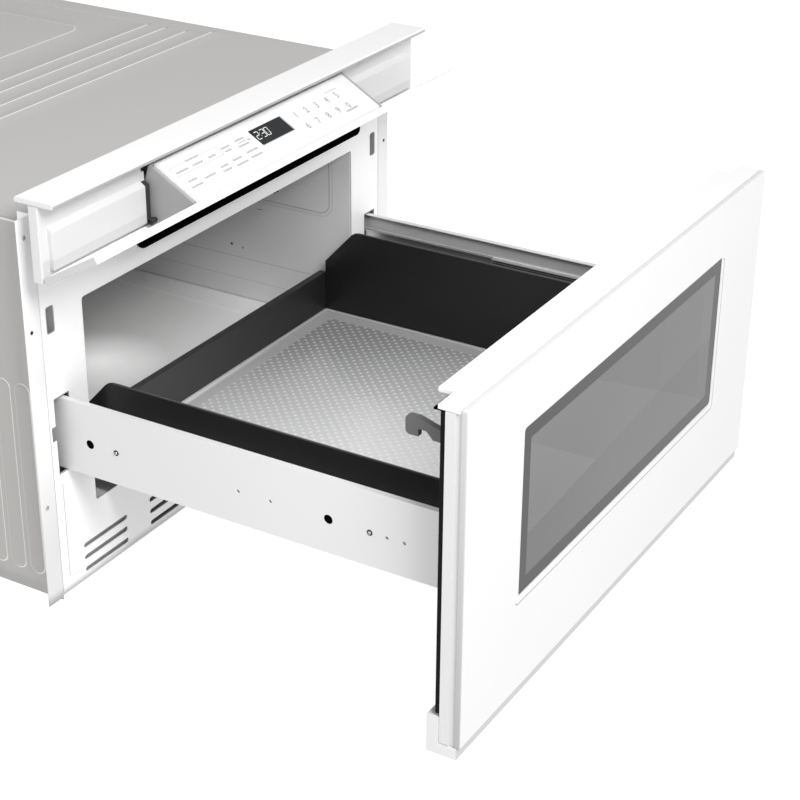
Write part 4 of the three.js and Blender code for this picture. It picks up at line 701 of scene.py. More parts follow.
trayLook = {
    "rim": 4.0,
    "rimDrop": 1.4,
    "slope": 2.0,
    "band": 12.0,  # plain strip inside the rim
    "pitch": 5.4,  # between neighbouring rows of dimples
    "dimple": 0.45,
    "samples": 3.2,  # grid lines to a pitch
    "corner": 5.0,
    "light": (0.88, 0.883, 0.883, 1),
    "dark": (0.31, 0.313, 0.314, 1),
    "towards": (0.9, 0.62),  # direction in which the tray's painted shade deepens
    "fade": (60, 520),  # the painted light and reflection run from the near left corner to the far right one
    "dotStrength": 0.42,
    "dotTone": 0.95,
    # the band and rim tones follow the same painted light and reflection; bandLight is painted light glowing on the
    # band
    "bandTones": (0.80, 0.42),
    "bandLight": 0.05,
    "rimTones": (0.88, 0.55),
    "lineTone": 0.5,
    "near": (0.26, (150, 560)),  # painted light glowing at the near left corner, and how far it reaches
}


# the wave whose crests are the dimples, over places measured from the tray's middle
def dimpleWave(x, y, cosine):
    return cosine(x * (math.pi / trayLook["pitch"])) * cosine(y * (math.pi / trayLook["pitch"]))


# glass over grey, painted paler towards the front left as light and reflection, with painted light glowing at the
# near left corner and on the band, a white rim and pale dimples
def trayGlass(w):
    look = trayLook
    low, high = boxOf("glass_tray")
    middle, half = (low + high) / 2, (high - low) / 2
    x, y, z = w.axes()
    inside = -1 * roundedDistance(x, y, middle, half, look["corner"])
    alongX, alongY = look["towards"]
    reach = (x - low[0]) * alongX + (y - low[1]) * alongY
    fade = reach.ramp(*look["fade"])
    ground = fade.blend(look["light"], look["dark"])
    wave = dimpleWave(x - middle[0], y - middle[1], lambda a: a.maths("COSINE", a))
    start = look["rim"] + look["slope"]
    end = start + look["band"]
    dots = wave.above(0.55, 0.2) * inside.above(end, 0.6)
    colour = (dots * look["dotStrength"]).blend(ground, grey(look["dotTone"]))
    band = inside.within(start, end, 0.3)
    near, far = look["bandTones"]
    colour = (band * 0.6).blend(colour, fade.blend(grey(near), grey(far)))
    colour = lineMask(inside - end, 0.3, 0.3).blend(colour, grey(look["lineTone"]))
    rim = 1 - inside.above(look["rim"] + 0.5, 0.4)
    near, far = look["rimTones"]
    added, span = look["near"]
    glow = (1 - reach.ramp(*span)) * added * (1 - band) + band * look["bandLight"]
    return {
        "Base Color": rim.blend(colour, fade.blend(grey(near), grey(far))),
        "Emission Color": glow.blend(grey(0), grey(1)),
        "Emission Strength": 1.0,
        "Roughness": w.noise(90).spread(0.10, 0.15),
        "Coat Weight": 0.4,
    }


windowLook = {
    "border": (0.022, 0.023, 0.024, 1),
    "lap": 5,  # how far the border reaches over the screen
    "corner": 2,
    "sight": 0.142,
    "sightAlpha": 0.94,
    "lines": (2.7, 0.35, 0.03),  # pitch, strength and tone of the screen's level lines
    "linesFrom": ((-170, -20), (180, 245)),  # they fade out along these spans of x and z
    "upper": (-50.8, 241.0, 72.6, 178.7),  # two points of each border line seen in the sight
    "lower": (-176.2, 161.7, 72.6, 178.7),
    "left": (-176.6, 237.0, -54.5, 164.5),
    "upright": (73.7, 178.0),  # x of the standing line, and its foot
    "column": 170.0,
    "seen": (207.4, 102.8),  # right and lower limit of the glass that shows; past it the glass is painted dark as shade
    "rimTone": 0.004,
    "shades": (0.12, 0.10, 0.10, 0.16),  # painted shade above 'upper', right of 'upright', below 'lower', and painted light at the left (brighter)
    "columnShines": (0.12, 0.05),  # painted highlights on the column's line, and right of it
}


# Tinted glass with a printed border round the sight opening. In the sight are painted the faint light and shade of
# what lies behind it, and at its left the screen's level lines; past the opening's right and lower edge the glass
# is painted dark as shade.
def windowGlass(w):
    look = windowLook
    x, y, z = w.axes()
    low, high = boxOf("window_screen")
    middle = (low + high) / 2
    half = (high - low) / 2 - look["lap"]
    away = roundedDistance(x, z, (middle[0], middle[2]), (half[0], half[2]), look["corner"])
    border = away.above(0, 0.25)

    # 1 above a line through two points
    def over(name):
        x0, z0, x1, z1 = look[name]
        return (z - z0 - (x - x0) * ((z1 - z0) / (x1 - x0))).above(0, 0.5)

    place, foot = look["upright"]
    upright = x.above(place, 0.6) * z.above(foot, 3)
    lower = 1 - over("lower")
    left = (1 - over("left")) * (1 - lower)
    onLine, beyond = look["columnShines"]
    column = lineMask(x - look["column"], 0.6) * onLine + x.above(look["column"], 0.5) * beyond
    dim, dimRight, dimBelow, bright = look["shades"]
    shade = 1 - over("upper") * (1 - upright) * dim - upright * dimRight - lower * dimBelow + left * bright + column
    sight = (shade * look["sight"] * 2).least(1).blend(grey(0), grey(0.5))
    pitch, strength, tone = look["lines"]
    spanX, spanZ = look["linesFrom"]
    shown = (1 - x.ramp(*spanX)) * (1 - z.ramp(*spanZ)) * strength
    sight = (z.waves(pitch).above(0, 0.6) * shown).blend(sight, grey(tone))
    limitX, limitZ = look["seen"]
    rim = x.above(limitX, 0.3).most(1 - z.above(limitZ, 0.3))
    edge = lineMask(away, 0.4) * 0.5
    colour = border.blend(sight, look["border"])
    return {
        "Base Color": edge.most(rim).blend(colour, grey(look["rimTone"])),
        "Roughness": w.noise(40).spread(0.08, 0.12),
        "Specular IOR Level": 0.31,
        "Alpha": border.spread(look["sightAlpha"], 1.0),
    }


# the punched screen behind the window, its rows of holes drawn as level lines
def windowScreen(w):
    x, y, z = w.axes()
    holes = z.waves(3.2).above(0.0, 0.6)
    return {
        "Base Color": holes.blend(grey(0.05), grey(0.09)),
        "Roughness": w.noise(500).spread(0.5, 0.6),
        "Alpha": holes.spread(1.0, 0.6),
    }


def clearGlass(w):
    return {
        "Base Color": w.noise(20).blend(grey(0.5), grey(0.55)),
        "Roughness": w.noise(60).spread(0.05, 0.09),
        "Alpha": 0.25,
    }


# the control glass, with dark lines along its rear edge and its left end
def controlGlass(w):
    look = glassLook
    x, y, z = w.axes()
    along = (y - look["front"][0]) * look["slope"][0] + (z - look["front"][1]) * look["slope"][1]
    length, half = look["length"], look["half"]
    rear = along.above(length - 0.45, 0.12)
    left = lineMask(x + half - 0.5, 0.25, 0.15).most(lineMask(x + half - 3.0, 0.2, 0.15) * 0.7)
    tone = w.noise(11).blend((0.845, 0.848, 0.848, 1), (0.86, 0.862, 0.86, 1))
    return {
        "Base Color": rear.most(left).blend(tone, grey(look["lineTone"])),
        "Roughness": w.noise(70).spread(0.16, 0.22),
        "Coat Weight": 0.3,
    }


def displayBlack(w):
    return {
        "Base Color": w.noise(60).blend((0.010, 0.012, 0.013, 1), (0.016, 0.018, 0.019, 1)),
        "Roughness": w.noise(80).spread(0.2, 0.26),
        "Specular IOR Level": 0.3,
    }


# the wrap's and the control glass's settings, which the finishes above share with the pieces below
wrapLook = {
    "sheet": 1.0,
    "bend": 3.0,
    "proud": 0.8,
    "beadHalf": 2.0,
    "lineHalf": 0.55,
    "lineShift": 0.6,  # the painted highlight stands this far in front of a bead's middle
    "dash": (2.6, 0.6),  # half length and half width of the painted shadow past each bead's end
    "dashGap": 4.5,
    # strengths of the painted highlights on the pads' outlines and on the side seam
    "padShine": 0.75,
    "seamShine": 0.8,
    "across": [(203, 260), (229, 246), (257, 246), (281, 246)],  # how far back, half length
    "frame": (200, 334.5, 513.5, 22.5),  # half width, front, rear, corner
    "edge": (250, 313, 498),  # half width, front, rear
    "pads": (20.4, 22.4, 17.2, 4),  # first, pitch, width, count
    "padSpan": (20, 216),
    "padSlope": 2.2,
    "notch": (160.8, 8.6),  # half width, depth
    "flatTop": 373.6,
    "seam": (370.6, 372.4),
    "fine": 1.2,
    "coarse": 32,
}
glassLook = {
    "front": (-78.69, 367.40),  # y and z of the front edge
    "slope": (0.8682, 0.4962),  # along the glass, towards the rear
    "length": 53.6,
    "half": 155,
    "lineTone": 0.12,
}

finishes = {
    "visor_paint": makeFinish("visorPaint", visorPaint),
    "fascia_paint": makeFinish("fasciaPaint", fasciaPaint),
    "door_paint": makeFinish("doorPaint", doorPaint),
    "frame_paint": makeFinish("framePaint", paint("door")),
    "cap_paint": makeFinish("capPaint", paint("cap")),
    "member_paint": makeFinish("memberPaint", memberPaint),
    "plate_paint": makeFinish("platePaint", platePaint),
    "white_moulding": makeFinish("whiteMoulding", bezelMoulding),
    "trim_moulding": makeFinish("trimMoulding", trimMoulding),
    "galvanised_sheet": makeFinish("galvanisedSheet", galvanisedSheet),
    "beaded_sheet": makeFinish("beadedSheet", beadedSheet),
    "bright_steel": makeFinish("brightSteel", brightSteel),
    "slide_steel": makeFinish("slideSteel", slideSteel),
    "black_enamel": makeFinish("blackEnamel", blackEnamel),
    "door_black": moulded("doorBlack", grey(0.003), grey(0.0045), (0.5, 0.6), 900, 0.1),
    "tub_enamel": makeFinish("tubEnamel", tubEnamel),
    "rear_enamel": makeFinish("rearEnamel", rearEnamel),
    "grey_enamel": makeFinish("greyEnamel", greyEnamel),
    "cover_sheet": moulded("coverSheet", (0.50, 0.46, 0.39, 1), (0.60, 0.56, 0.49, 1), (0.6, 0.7)),
    "black_plastic": moulded("blackPlastic", grey(0.0018), grey(0.0028), (0.6, 0.7), 900, 0.0),
    "grey_plastic": moulded("greyPlastic", grey(0.15), grey(0.19)),
    "pale_plastic": moulded("palePlastic", grey(0.375), grey(0.41), (0.4, 0.5)),
    "switch_plastic": moulded("switchPlastic", grey(0.56), grey(0.60), (0.4, 0.5)),
    "hook_plastic": moulded("hookPlastic", grey(0.10), grey(0.13), (0.35, 0.45)),
    "tray_glass": makeFinish("trayGlass", trayGlass),
    "window_tint": makeFinish("windowTint", windowGlass),
    "white_control_glass": makeFinish("whiteControlGlass", controlGlass),
    "display_black": makeFinish("displayBlack", displayBlack),
    "aluminium": plainMetal("aluminium", grey(0.58), grey(0.7)),
    "winding_steel": plainMetal("windingSteel", (0.26, 0.13, 0.07, 1), (0.42, 0.24, 0.15, 1), (0.4, 0.5)),
    "circuit_board": moulded("circuitBoard", (0.03, 0.11, 0.05, 1), (0.05, 0.16, 0.08, 1), (0.3, 0.42)),
    "brass": plainMetal("brass", (0.55, 0.38, 0.14, 1), (0.68, 0.5, 0.22, 1)),
    "rubber": moulded("rubber", grey(0.012), grey(0.02), (0.7, 0.8)),
    "window_screen": makeFinish("windowScreen", windowScreen),
    "clear_glass": makeFinish("clearGlass", clearGlass),
    "print_grey": moulded("printGrey", grey(0.25), grey(0.29), (0.5, 0.6), 3000),
    "print_dark": moulded("printDark", grey(0.26), grey(0.30), (0.5, 0.6), 3000),
    "print_pale": moulded("printPale", grey(0.34), grey(0.38), (0.5, 0.6), 3000),
    "print_red": moulded("printRed", (0.45, 0.10, 0.09, 1), (0.5, 0.13, 0.12, 1), (0.5, 0.6), 3000),
    "lit_white": moulded("litWhite", grey(0.86), grey(0.9), (0.5, 0.6), 3000),
    "screw_steel": plainMetal("screwSteel", grey(0.5), grey(0.62), (0.25, 0.35)),
    "line_dark": moulded("lineDark", grey(0.012), grey(0.02), (0.5, 0.6), 2000),
    "line_grey": moulded("lineGrey", grey(0.26), grey(0.30), (0.5, 0.6), 2000),
}

nodeFinishes = {
    "visor_paint": "top_visor",
    "fascia_paint": "panel_fascia",
    "door_paint": "door_front_panel",
    "frame_paint": "door_frame",
    "cap_paint": "door_top_cap",
    "member_paint": "left_side_member right_side_member",
    "plate_paint": "front_plate left_mounting_flange right_mounting_flange",
    "white_moulding": "bezel",
    "trim_moulding": "door_bottom_trim",
    "galvanised_sheet": "base_plate back_panel waveguide cavity_stand",
    "beaded_sheet": "outer_wrap",
    "slide_steel": "left_fixed_slide right_fixed_slide left_middle_slide right_middle_slide "
    "left_drawer_slide right_drawer_slide",
    "bright_steel": "drive_motor drive_rack fan_motor",
    # the hinge pins wear the dark finish as painted shade, so they read as the shaded gap at the hinge
    "line_dark": "left_hinge_pin right_hinge_pin",
    "black_enamel": "tub_floor",
    "door_black": "inner_door",
    "tub_enamel": "left_tub_wall right_tub_wall",
    "rear_enamel": "rear_tub_wall",
    "grey_enamel": "oven_cavity",
    "cover_sheet": "stirrer_cover",
    "black_plastic": "reveal_strip air_duct fan_housing",
    "grey_plastic": "stirrer_motor fan_blade",
    "pale_plastic": "panel_housing",
    "switch_plastic": "left_switch_block right_switch_block",
    "hook_plastic": "left_latch_hook right_latch_hook",
    "tray_glass": "glass_tray",
    "window_tint": "window_glass",
    "white_control_glass": "control_glass",
    "display_black": "display_lens",
    "aluminium": "stirrer magnetron capacitor",
    "winding_steel": "transformer",
    "circuit_board": "power_board control_board",
    "brass": "drive_pinion lamp_holder",
    "rubber": "cord_bushing",
    "window_screen": "window_screen",
    "clear_glass": "inner_window_glass",
}

# the finish that each node wears, and the record's slot for each finish that has another name there
finishOf = {node: slot for slot, names in nodeFinishes.items() for node in names.split()}


def wear(piece, slot):
    piece.data.materials.clear()
    piece.data.materials.append(finishes[slot])


for name, node in frame["nodes"].items():
    wear(node, finishOf[name])
print("finishes on", len(finishOf), "nodes")


def addPiece(name, mesh, body, slot, replaced=()):
    piece = bpy.data.objects.new(name, mesh)
    bpy.context.scene.collection.objects.link(piece)
    wear(piece, slot)
    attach(piece, body)
    if replaced:
        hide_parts(*replaced)
    return piece


def shadeSmooth(mesh, angle):
    mesh.shade_smooth()
    mesh.set_sharp_from_angle(angle=math.radians(angle))


# points (n, 3) in millimetres and faces, as a mesh in metres in the shared frame
def makeMesh(name, points, faces, smooth=40):
    mesh = bpy.data.meshes.new(name)
    mesh.from_pydata(((points + (0, frontY, 0)) / metre).tolist(), [], faces)
    shadeSmooth(mesh, smooth)
    return mesh


# one quad for each cell of a grid of points (rows, columns, 3); keep leaves cells out, and floor closes the
# skin with one flat face round the grid's edge
def gridMesh(name, points, keep=None, floor=False, smooth=40):
    rows, columns = points.shape[:2]
    index = np.arange(rows * columns).reshape(rows, columns)
    quads = np.stack([index[:-1, :-1], index[1:, :-1], index[1:, 1:], index[:-1, 1:]], -1).reshape(-1, 4)
    if keep is not None:
        quads = quads[keep.reshape(-1)]
    faces = quads.tolist()
    if floor:
        edge = [index[0, :-1], index[:-1, -1], index[-1, :0:-1], index[:0:-1, 0]]
        faces.append(np.concatenate(edge).tolist())
    return makeMesh(name, points.reshape(-1, 3), faces, smooth)


# a closed skin over rings of points (rings, around, 3), joined by quads and capped by a flat face at each end
def ringPart(rings):
    count, around = rings.shape[:2]
    index = np.arange(count * around).reshape(count, around)
    after = np.roll(index, -1, 1)
    quads = np.stack([index[:-1], after[:-1], after[1:], index[1:]], -1).reshape(-1, 4).tolist()
    return rings.reshape(-1, 3), quads + [index[0, ::-1].tolist(), index[-1].tolist()]


# several parts as one mesh, with every face turned outwards
def mergeParts(name, parts, smooth=40):
    points = np.concatenate([part[0] for part in parts])
    faces = []
    start = 0
    for part in parts:
        faces += [[start + i for i in face] for face in part[1]]
        start += len(part[0])
    mesh = makeMesh(name, points, faces, smooth)
    shape = bmesh.new()
    shape.from_mesh(mesh)
    bmesh.ops.recalc_face_normals(shape, faces=shape.faces)
    shape.to_mesh(mesh)
    shape.free()
    return mesh


def unit(vector):
    vector = np.array(vector, float)
    return vector / np.linalg.norm(vector)


# two directions square to an axis
def acrossAxis(axis):
    axis = unit(axis)
    first = unit(np.cross(axis, (0, 0, 1) if abs(axis[2]) < 0.9 else (1, 0, 0)))
    return first, np.cross(axis, first)


# A turned part: each (radius, height) of the profile is a ring about the axis, height along it.
def turnedPart(profile, centre, axis, around=20):
    first, second = acrossAxis(axis)
    angles = np.linspace(0, 2 * np.pi, around, endpoint=False)
    ring = np.cos(angles)[:, None] * first + np.sin(angles)[:, None] * second
    profile = np.array(profile, float)
    rings = profile[:, :1, None] * ring + profile[:, 1:, None] * unit(axis)
    return ringPart(rings + np.array(centre, float))


# corner points of a rounded rectangle about the origin, anticlockwise
def roundedOutline(halfA, halfB, radius, steps=3):
    radius = min(radius, halfA, halfB)
    turn = np.radians(np.linspace(0, 90, steps + 1))
    arcs = []
    for k, (signA, signB) in enumerate([(1, 1), (-1, 1), (-1, -1), (1, -1)]):
        a = np.cos(turn + k * np.pi / 2) * radius + signA * (halfA - radius)
        b = np.sin(turn + k * np.pi / 2) * radius + signB * (halfB - radius)
        arcs.append(np.stack([a, b], -1))
    return np.concatenate(arcs)


# A thin plate on a surface: an outline (n, 2) along two directions from a place, from sunk to proud of it.
def platePart(outline, place, along, across, proud, sunk=0.2):
    normal = np.cross(along, across)
    flat = place + (outline[:, :1] * along + outline[:, 1:] * across)
    return ringPart(np.array([flat + height * normal for height in (-sunk, proud)]))


# a copy of a CAD node with its points merged and its edges rounded
def softened(node, width, segments=2, limit=50):
    source = frame["nodes"][node]
    mesh = source.data.copy()
    shape = bmesh.new()
    shape.from_mesh(mesh)
    bmesh.ops.remove_doubles(shape, verts=shape.verts, dist=1e-6)
    bmesh.ops.dissolve_limit(shape, angle_limit=math.radians(1), verts=shape.verts, edges=shape.edges)
    shape.to_mesh(mesh)
    shape.free()
    shadeSmooth(mesh, limit if not width else 180)
    words = node.split("_")
    name = words[0] + "".join(word.capitalize() for word in words[1:]) + "Soft"
    piece = addPiece(name, mesh, source["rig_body"], finishOf[node], [node])
    if width:
        bevel = piece.modifiers.new("round", "BEVEL")
        bevel.width = width / metre
        bevel.segments = segments
        bevel.limit_method = "ANGLE"
        bevel.angle_limit = math.radians(limit)
        bevel.use_clamp_overlap = False
    weigh = piece.modifiers.new("weigh", "WEIGHTED_NORMAL")
    weigh.keep_sharp = True
    return piece


softEdges = {
    "top_visor": 0.7,
    "bezel": 1.0,
    "panel_fascia": 0.4,
    "panel_housing": 0.5,
    "control_glass": 0.4,
    "door_front_panel": 0.35,
    "door_frame": 0,
    "door_top_cap": 0.6,
    "door_bottom_trim": 0.7,
    "left_side_member": 0.35,
    "right_side_member": 0.35,
    "left_tub_wall": 0.5,
    "right_tub_wall": 0.5,
    "rear_tub_wall": 0.3,
    "inner_door": 0.4,
    "left_latch_hook": 0.6,
    "right_latch_hook": 0.6,
    "reveal_strip": 0.6,
    "left_mounting_flange": 0,
    "right_mounting_flange": 0,
    "front_plate": 0,
    "oven_cavity": 0,
}

for node, width in softEdges.items():
    softened(node, width)
print("edges softened on", len(softEdges), "pieces")


# grid lines: every value given, and between them steps no longer than the spacing of that stretch
def gridLines(low, high, fineSpans, fine, coarse, exact=()):
    marks = {low, high, *exact}
    for a, b in fineSpans:
        count = max(1, math.ceil((b - a) / fine))
        marks.update(np.linspace(a, b, count + 1))
    marks = sorted(m for m in marks if low <= m <= high)
    lines = [marks[0]]
    for mark in marks[1:]:
        count = max(1, math.ceil((mark - lines[-1]) / coarse - 1e-6))
        if mark - lines[-1] > 0.05:
            lines.extend(np.linspace(lines[-1], mark, count + 1)[1:])
    return np.array(lines)


def wrapBeads(across, back, height, onTop):
    look = wrapLook
    half = look["beadHalf"]
    lines = [np.hypot(np.maximum(np.abs(across) - reach, 0), back - place) for place, reach in look["across"]]
    width, front, rear, corner = look["frame"]
    frameMiddle = (0, (front + rear) / 2)
    frameHalf = (width, (rear - front) / 2)
    lines.append(np.abs(roundedDistance(across, back, frameMiddle, frameHalf, corner)))
    place, front, rear = look["edge"]
    beyond = np.maximum(np.maximum(front - back, back - rear), 0)
    lines.append(np.hypot(np.abs(across) - place, beyond))
    distance = np.minimum.reduce(lines)
    top = 0.5 + 0.5 * np.cos(np.pi * np.clip(distance / half, 0, 1))
    first, pitch, padWidth, count = look["pads"]
    low, high = look["padSpan"]
    pads = np.zeros_like(back)
    for i in range(count):
        middle = (first + i * pitch + padWidth / 2, (low + high) / 2)
        inside = -roundedDistance(back, height, middle, (padWidth / 2, (high - low) / 2), padWidth / 2)
        rise = np.clip(inside / look["padSlope"], 0, 1)
        pads = np.maximum(pads, rise * rise * (3 - 2 * rise))
    return look["proud"] * np.where(onTop, top, pads)


# A U of sheet: its section goes up the left side, over the top and down the right side, and is carried from
# front to rear. Each point is pushed out along the section's normal by the height of the beads there.
def makeWrap():
    look = wrapLook
    panelEnd = boxOf("back_panel")[1]
    half, top = panelEnd[0], panelEnd[2]
    bend = look["bend"]
    width, frameFront, frameRear, corner = look["frame"]
    reaches = [reach for place, reach in look["across"]]
    first, pitch, padWidth, count = look["pads"]
    padLow, padHigh = look["padSpan"]
    padEnd = padWidth / 2
    bead = look["beadHalf"]
    padEnds = [(padLow, padLow + padEnd), (padHigh - padEnd, padHigh)]
    sideLines = gridLines(0, top - bend, padEnds, look["fine"], look["coarse"] * 2)
    crossSpans = [(width - corner, width + bead), (look["edge"][0] - bead * 3, max(reaches) + bead)]
    topHalf = gridLines(0, half - bend, crossSpans, look["fine"], look["coarse"], [look["notch"][0]])
    bendAngles = np.radians(np.linspace(0, 90, 6))[1:-1]
    sectionX = np.concatenate([
        np.full(len(sideLines), -half),
        -half + bend - bend * np.cos(bendAngles),
        -topHalf[::-1],
        topHalf[1:],
        half - bend + bend * np.cos(bendAngles[::-1]),
        np.full(len(sideLines), half),
    ])
    sectionZ = np.concatenate([
        sideLines,
        top - bend + bend * np.sin(bendAngles),
        np.full(2 * len(topHalf) - 1, top),
        top - bend + bend * np.sin(bendAngles[::-1]),
        sideLines[::-1],
    ])
    sides = len(sideLines)
    arcs = len(bendAngles)
    nose = np.zeros((len(sectionX), 2))
    nose[:sides] = (-1, 0)
    nose[-sides:] = (1, 0)
    nose[sides + arcs:-sides - arcs] = (0, 1)
    nose[sides:sides + arcs] = np.stack([-np.cos(bendAngles), np.sin(bendAngles)], 1)
    nose[-sides - arcs:-sides] = np.stack([np.cos(bendAngles), np.sin(bendAngles)], 1)[::-1]
    wrapLow, wrapHigh = boxOf("outer_wrap")
    spans = [(first, first + (count - 1) * pitch + padWidth)]
    spans += [(place - bead, place + bead) for place, reach in look["across"]]
    spans += [(frameFront - bead, frameFront + corner), (frameRear - corner, frameRear + bead)]
    spans += [(look["edge"][1] - bead, look["edge"][1]), (look["edge"][2], look["edge"][2] + bead)]
    lengthLines = gridLines(wrapLow[1], wrapHigh[1], spans, look["fine"], look["coarse"], [look["notch"][1]])
    across, back = np.meshgrid(sectionX, lengthLines, indexing="ij")
    height = np.meshgrid(sectionZ, lengthLines, indexing="ij")[0]
    flatPart = (np.abs(across) < half - bend + 0.01) & (height > top - 0.01)
    lift = wrapBeads(across, back, height, flatPart)
    points = np.stack([across + nose[:, :1] * lift, back, height + nose[:, 1:] * lift], -1)
    middleX = (across[:-1, :-1] + across[1:, :-1]) / 2
    middleY = (back[:-1, :-1] + back[:-1, 1:]) / 2
    notched = (np.abs(middleX) < look["notch"][0]) & (middleY < look["notch"][1])
    keep = ~((height[:-1, :-1] > top - 0.01) & notched)
    mesh = gridMesh("wrapSheet", points, keep)
    piece = addPiece("wrapSheet", mesh, "cabinet", "beaded_sheet", ["outer_wrap"])
    shell = piece.modifiers.new("sheet", "SOLIDIFY")
    shell.thickness = look["sheet"] / metre
    shell.offset = -1


makeWrap()
print("wrap made")


# A height over (x, y): a rim, a drop to a flat band, and inside it a field of staggered round dimples. The
# outermost line drops to the underside, which is one flat face.
def makeTray():
    look = trayLook
    low, high = boxOf("glass_tray")
    middle = (low + high) / 2
    half = (high - low) / 2
    step = look["pitch"] / look["samples"]
    edge = look["rim"] + look["slope"] + 2

    def lines(reach):
        inner = reach - edge
        count = int(2 * inner / step)
        border = [reach, reach - 0.02, reach - 0.4, reach - look["rim"] + 0.4, reach - look["rim"] - 0.4]
        border += list(reach - look["rim"] - look["slope"] * np.array([0.4, 0.7, 1.0]))
        border = np.array(border)
        return np.concatenate([-border, np.linspace(-inner, inner, count + 1), border[::-1]])

    x, y = np.meshgrid(lines(half[0]), lines(half[1]), indexing="ij")
    inside = -roundedDistance(x, y, (0, 0), half, look["corner"])
    drop = np.clip((inside - look["rim"]) / look["slope"], 0, 1)
    height = high[2] - look["rimDrop"] * drop * drop * (3 - 2 * drop)
    height = height - 0.3 * np.clip(1 - inside / 0.4, 0, 1)
    field = np.clip((inside - look["rim"] - look["slope"] - look["band"]) / 2, 0, 1)
    dimple = np.clip((dimpleWave(x, y, np.cos) - 0.15) / 0.7, 0, 1)
    height = height + field * look["dimple"] * dimple * dimple * (3 - 2 * dimple)
    skirt = np.maximum(np.abs(x) - half[0], np.abs(y) - half[1]) > -0.01
    height = np.where(skirt, low[2], height)
    points = np.stack([x + middle[0], y + middle[1], height], -1)
    mesh = gridMesh("dimpledTray", points, floor=True, smooth=80)
    addPiece("dimpledTray", mesh, "drawer", "tray_glass", ["glass_tray"])


makeTray()
print("tray made")


panelLook = {
    "lift": 0.06,  # how far the print stands proud of the glass
    "capHeight": 2.5,
    "lowLetter": 0.72,  # height of the other blocks as a share of it
    "words": [  # from x, to x, and how far up the glass
        (-121.0, -102, 42.0), (-142.5, -125, 34.8), (-118.5, -103.5, 34.8), (-94.4, -83, 34.8),
        (-140.2, -128, 22.0), (-143.0, -126.7, 15.2), (-120.2, -104, 18.1), (-93.0, -81.7, 20.4),
        (-95.0, -82, 15.3), (-73.6, -59.4, 21.0), (-75.0, -58, 14.5), (-50.6, -34, 21.8),
        (-51.2, -34, 15.1), (-72.6, -59.5, 37.1), (-70.9, -61.5, 32.6), (-49.7, -36.5, 37.9),
        (-52.0, -36, 30.6), (-34.6, -31.2, 33.6), (109.5, 128.3, 12.9),
    ],
    "wordEnd": 0.4,  # the last block starts at least this far before the word's end
    "smallWord": (108.4, 128.2, 41.6),
    "smallDot": (0.4, 1.25),  # half size and pitch
    "glyphs": (0.75, 0.6, 0.8, 0.4, 0.7, 0.65),  # widths that a word's blocks repeat
    "glyphGap": 0.5,
    "box": (-145.2, -75.2, 30.7, 41.6, 1.2),  # left, right, low, high, corner
    "boxLine": 0.16,
    "boxBreak": (-122.3, -100.8),
    "redLine": ((-48.6, 34.3), (-37.2, 34.3), 0.28),
    "digits": [("12345", 47.2, 18.0, 34.3), ("67890", 47.3, 18.05, 18.4)],  # first x, pitch, height
    "digitHeight": 8.0,
    "digitShape": (1.35, 0.92),  # size of the letter shape to its height, and how far it is narrowed
    "clock": [(0.0, "2"), (8.6, "3"), (15.2, "0")],
    "clockStart": (-22.3, 28.0),
    "clockColon": 6.9,
    "colonHeights": (0.3, 0.7),
    "clockSize": (5.0, 9.0),
    "clockSlant": 0.19,
    "clockStroke": 0.75,
    "clockLift": (0.12, 0.02),  # proud and sunk
    "lens": (-24.5, 27, 21, 41.2),
    "lensRim": (0.75, 0.35, 0.1),  # half widths at the right and below, and height
}


# places and directions on the control glass: across it, up it, and out of it
def glassFrame():
    look = glassLook
    up = np.array([0, *look["slope"]])
    across = np.array([1.0, 0, 0])
    origin = np.array([0, *look["front"]])
    return origin, across, up


def onGlass(x, s):
    origin, across, up = glassFrame()
    return origin + x * across + s * up


def glassPlate(x, s, halfX, halfS, radius, proud, steps=2):
    origin, across, up = glassFrame()
    return platePart(roundedOutline(halfX, halfS, radius, steps), onGlass(x, s), across, up, proud, 0.02)


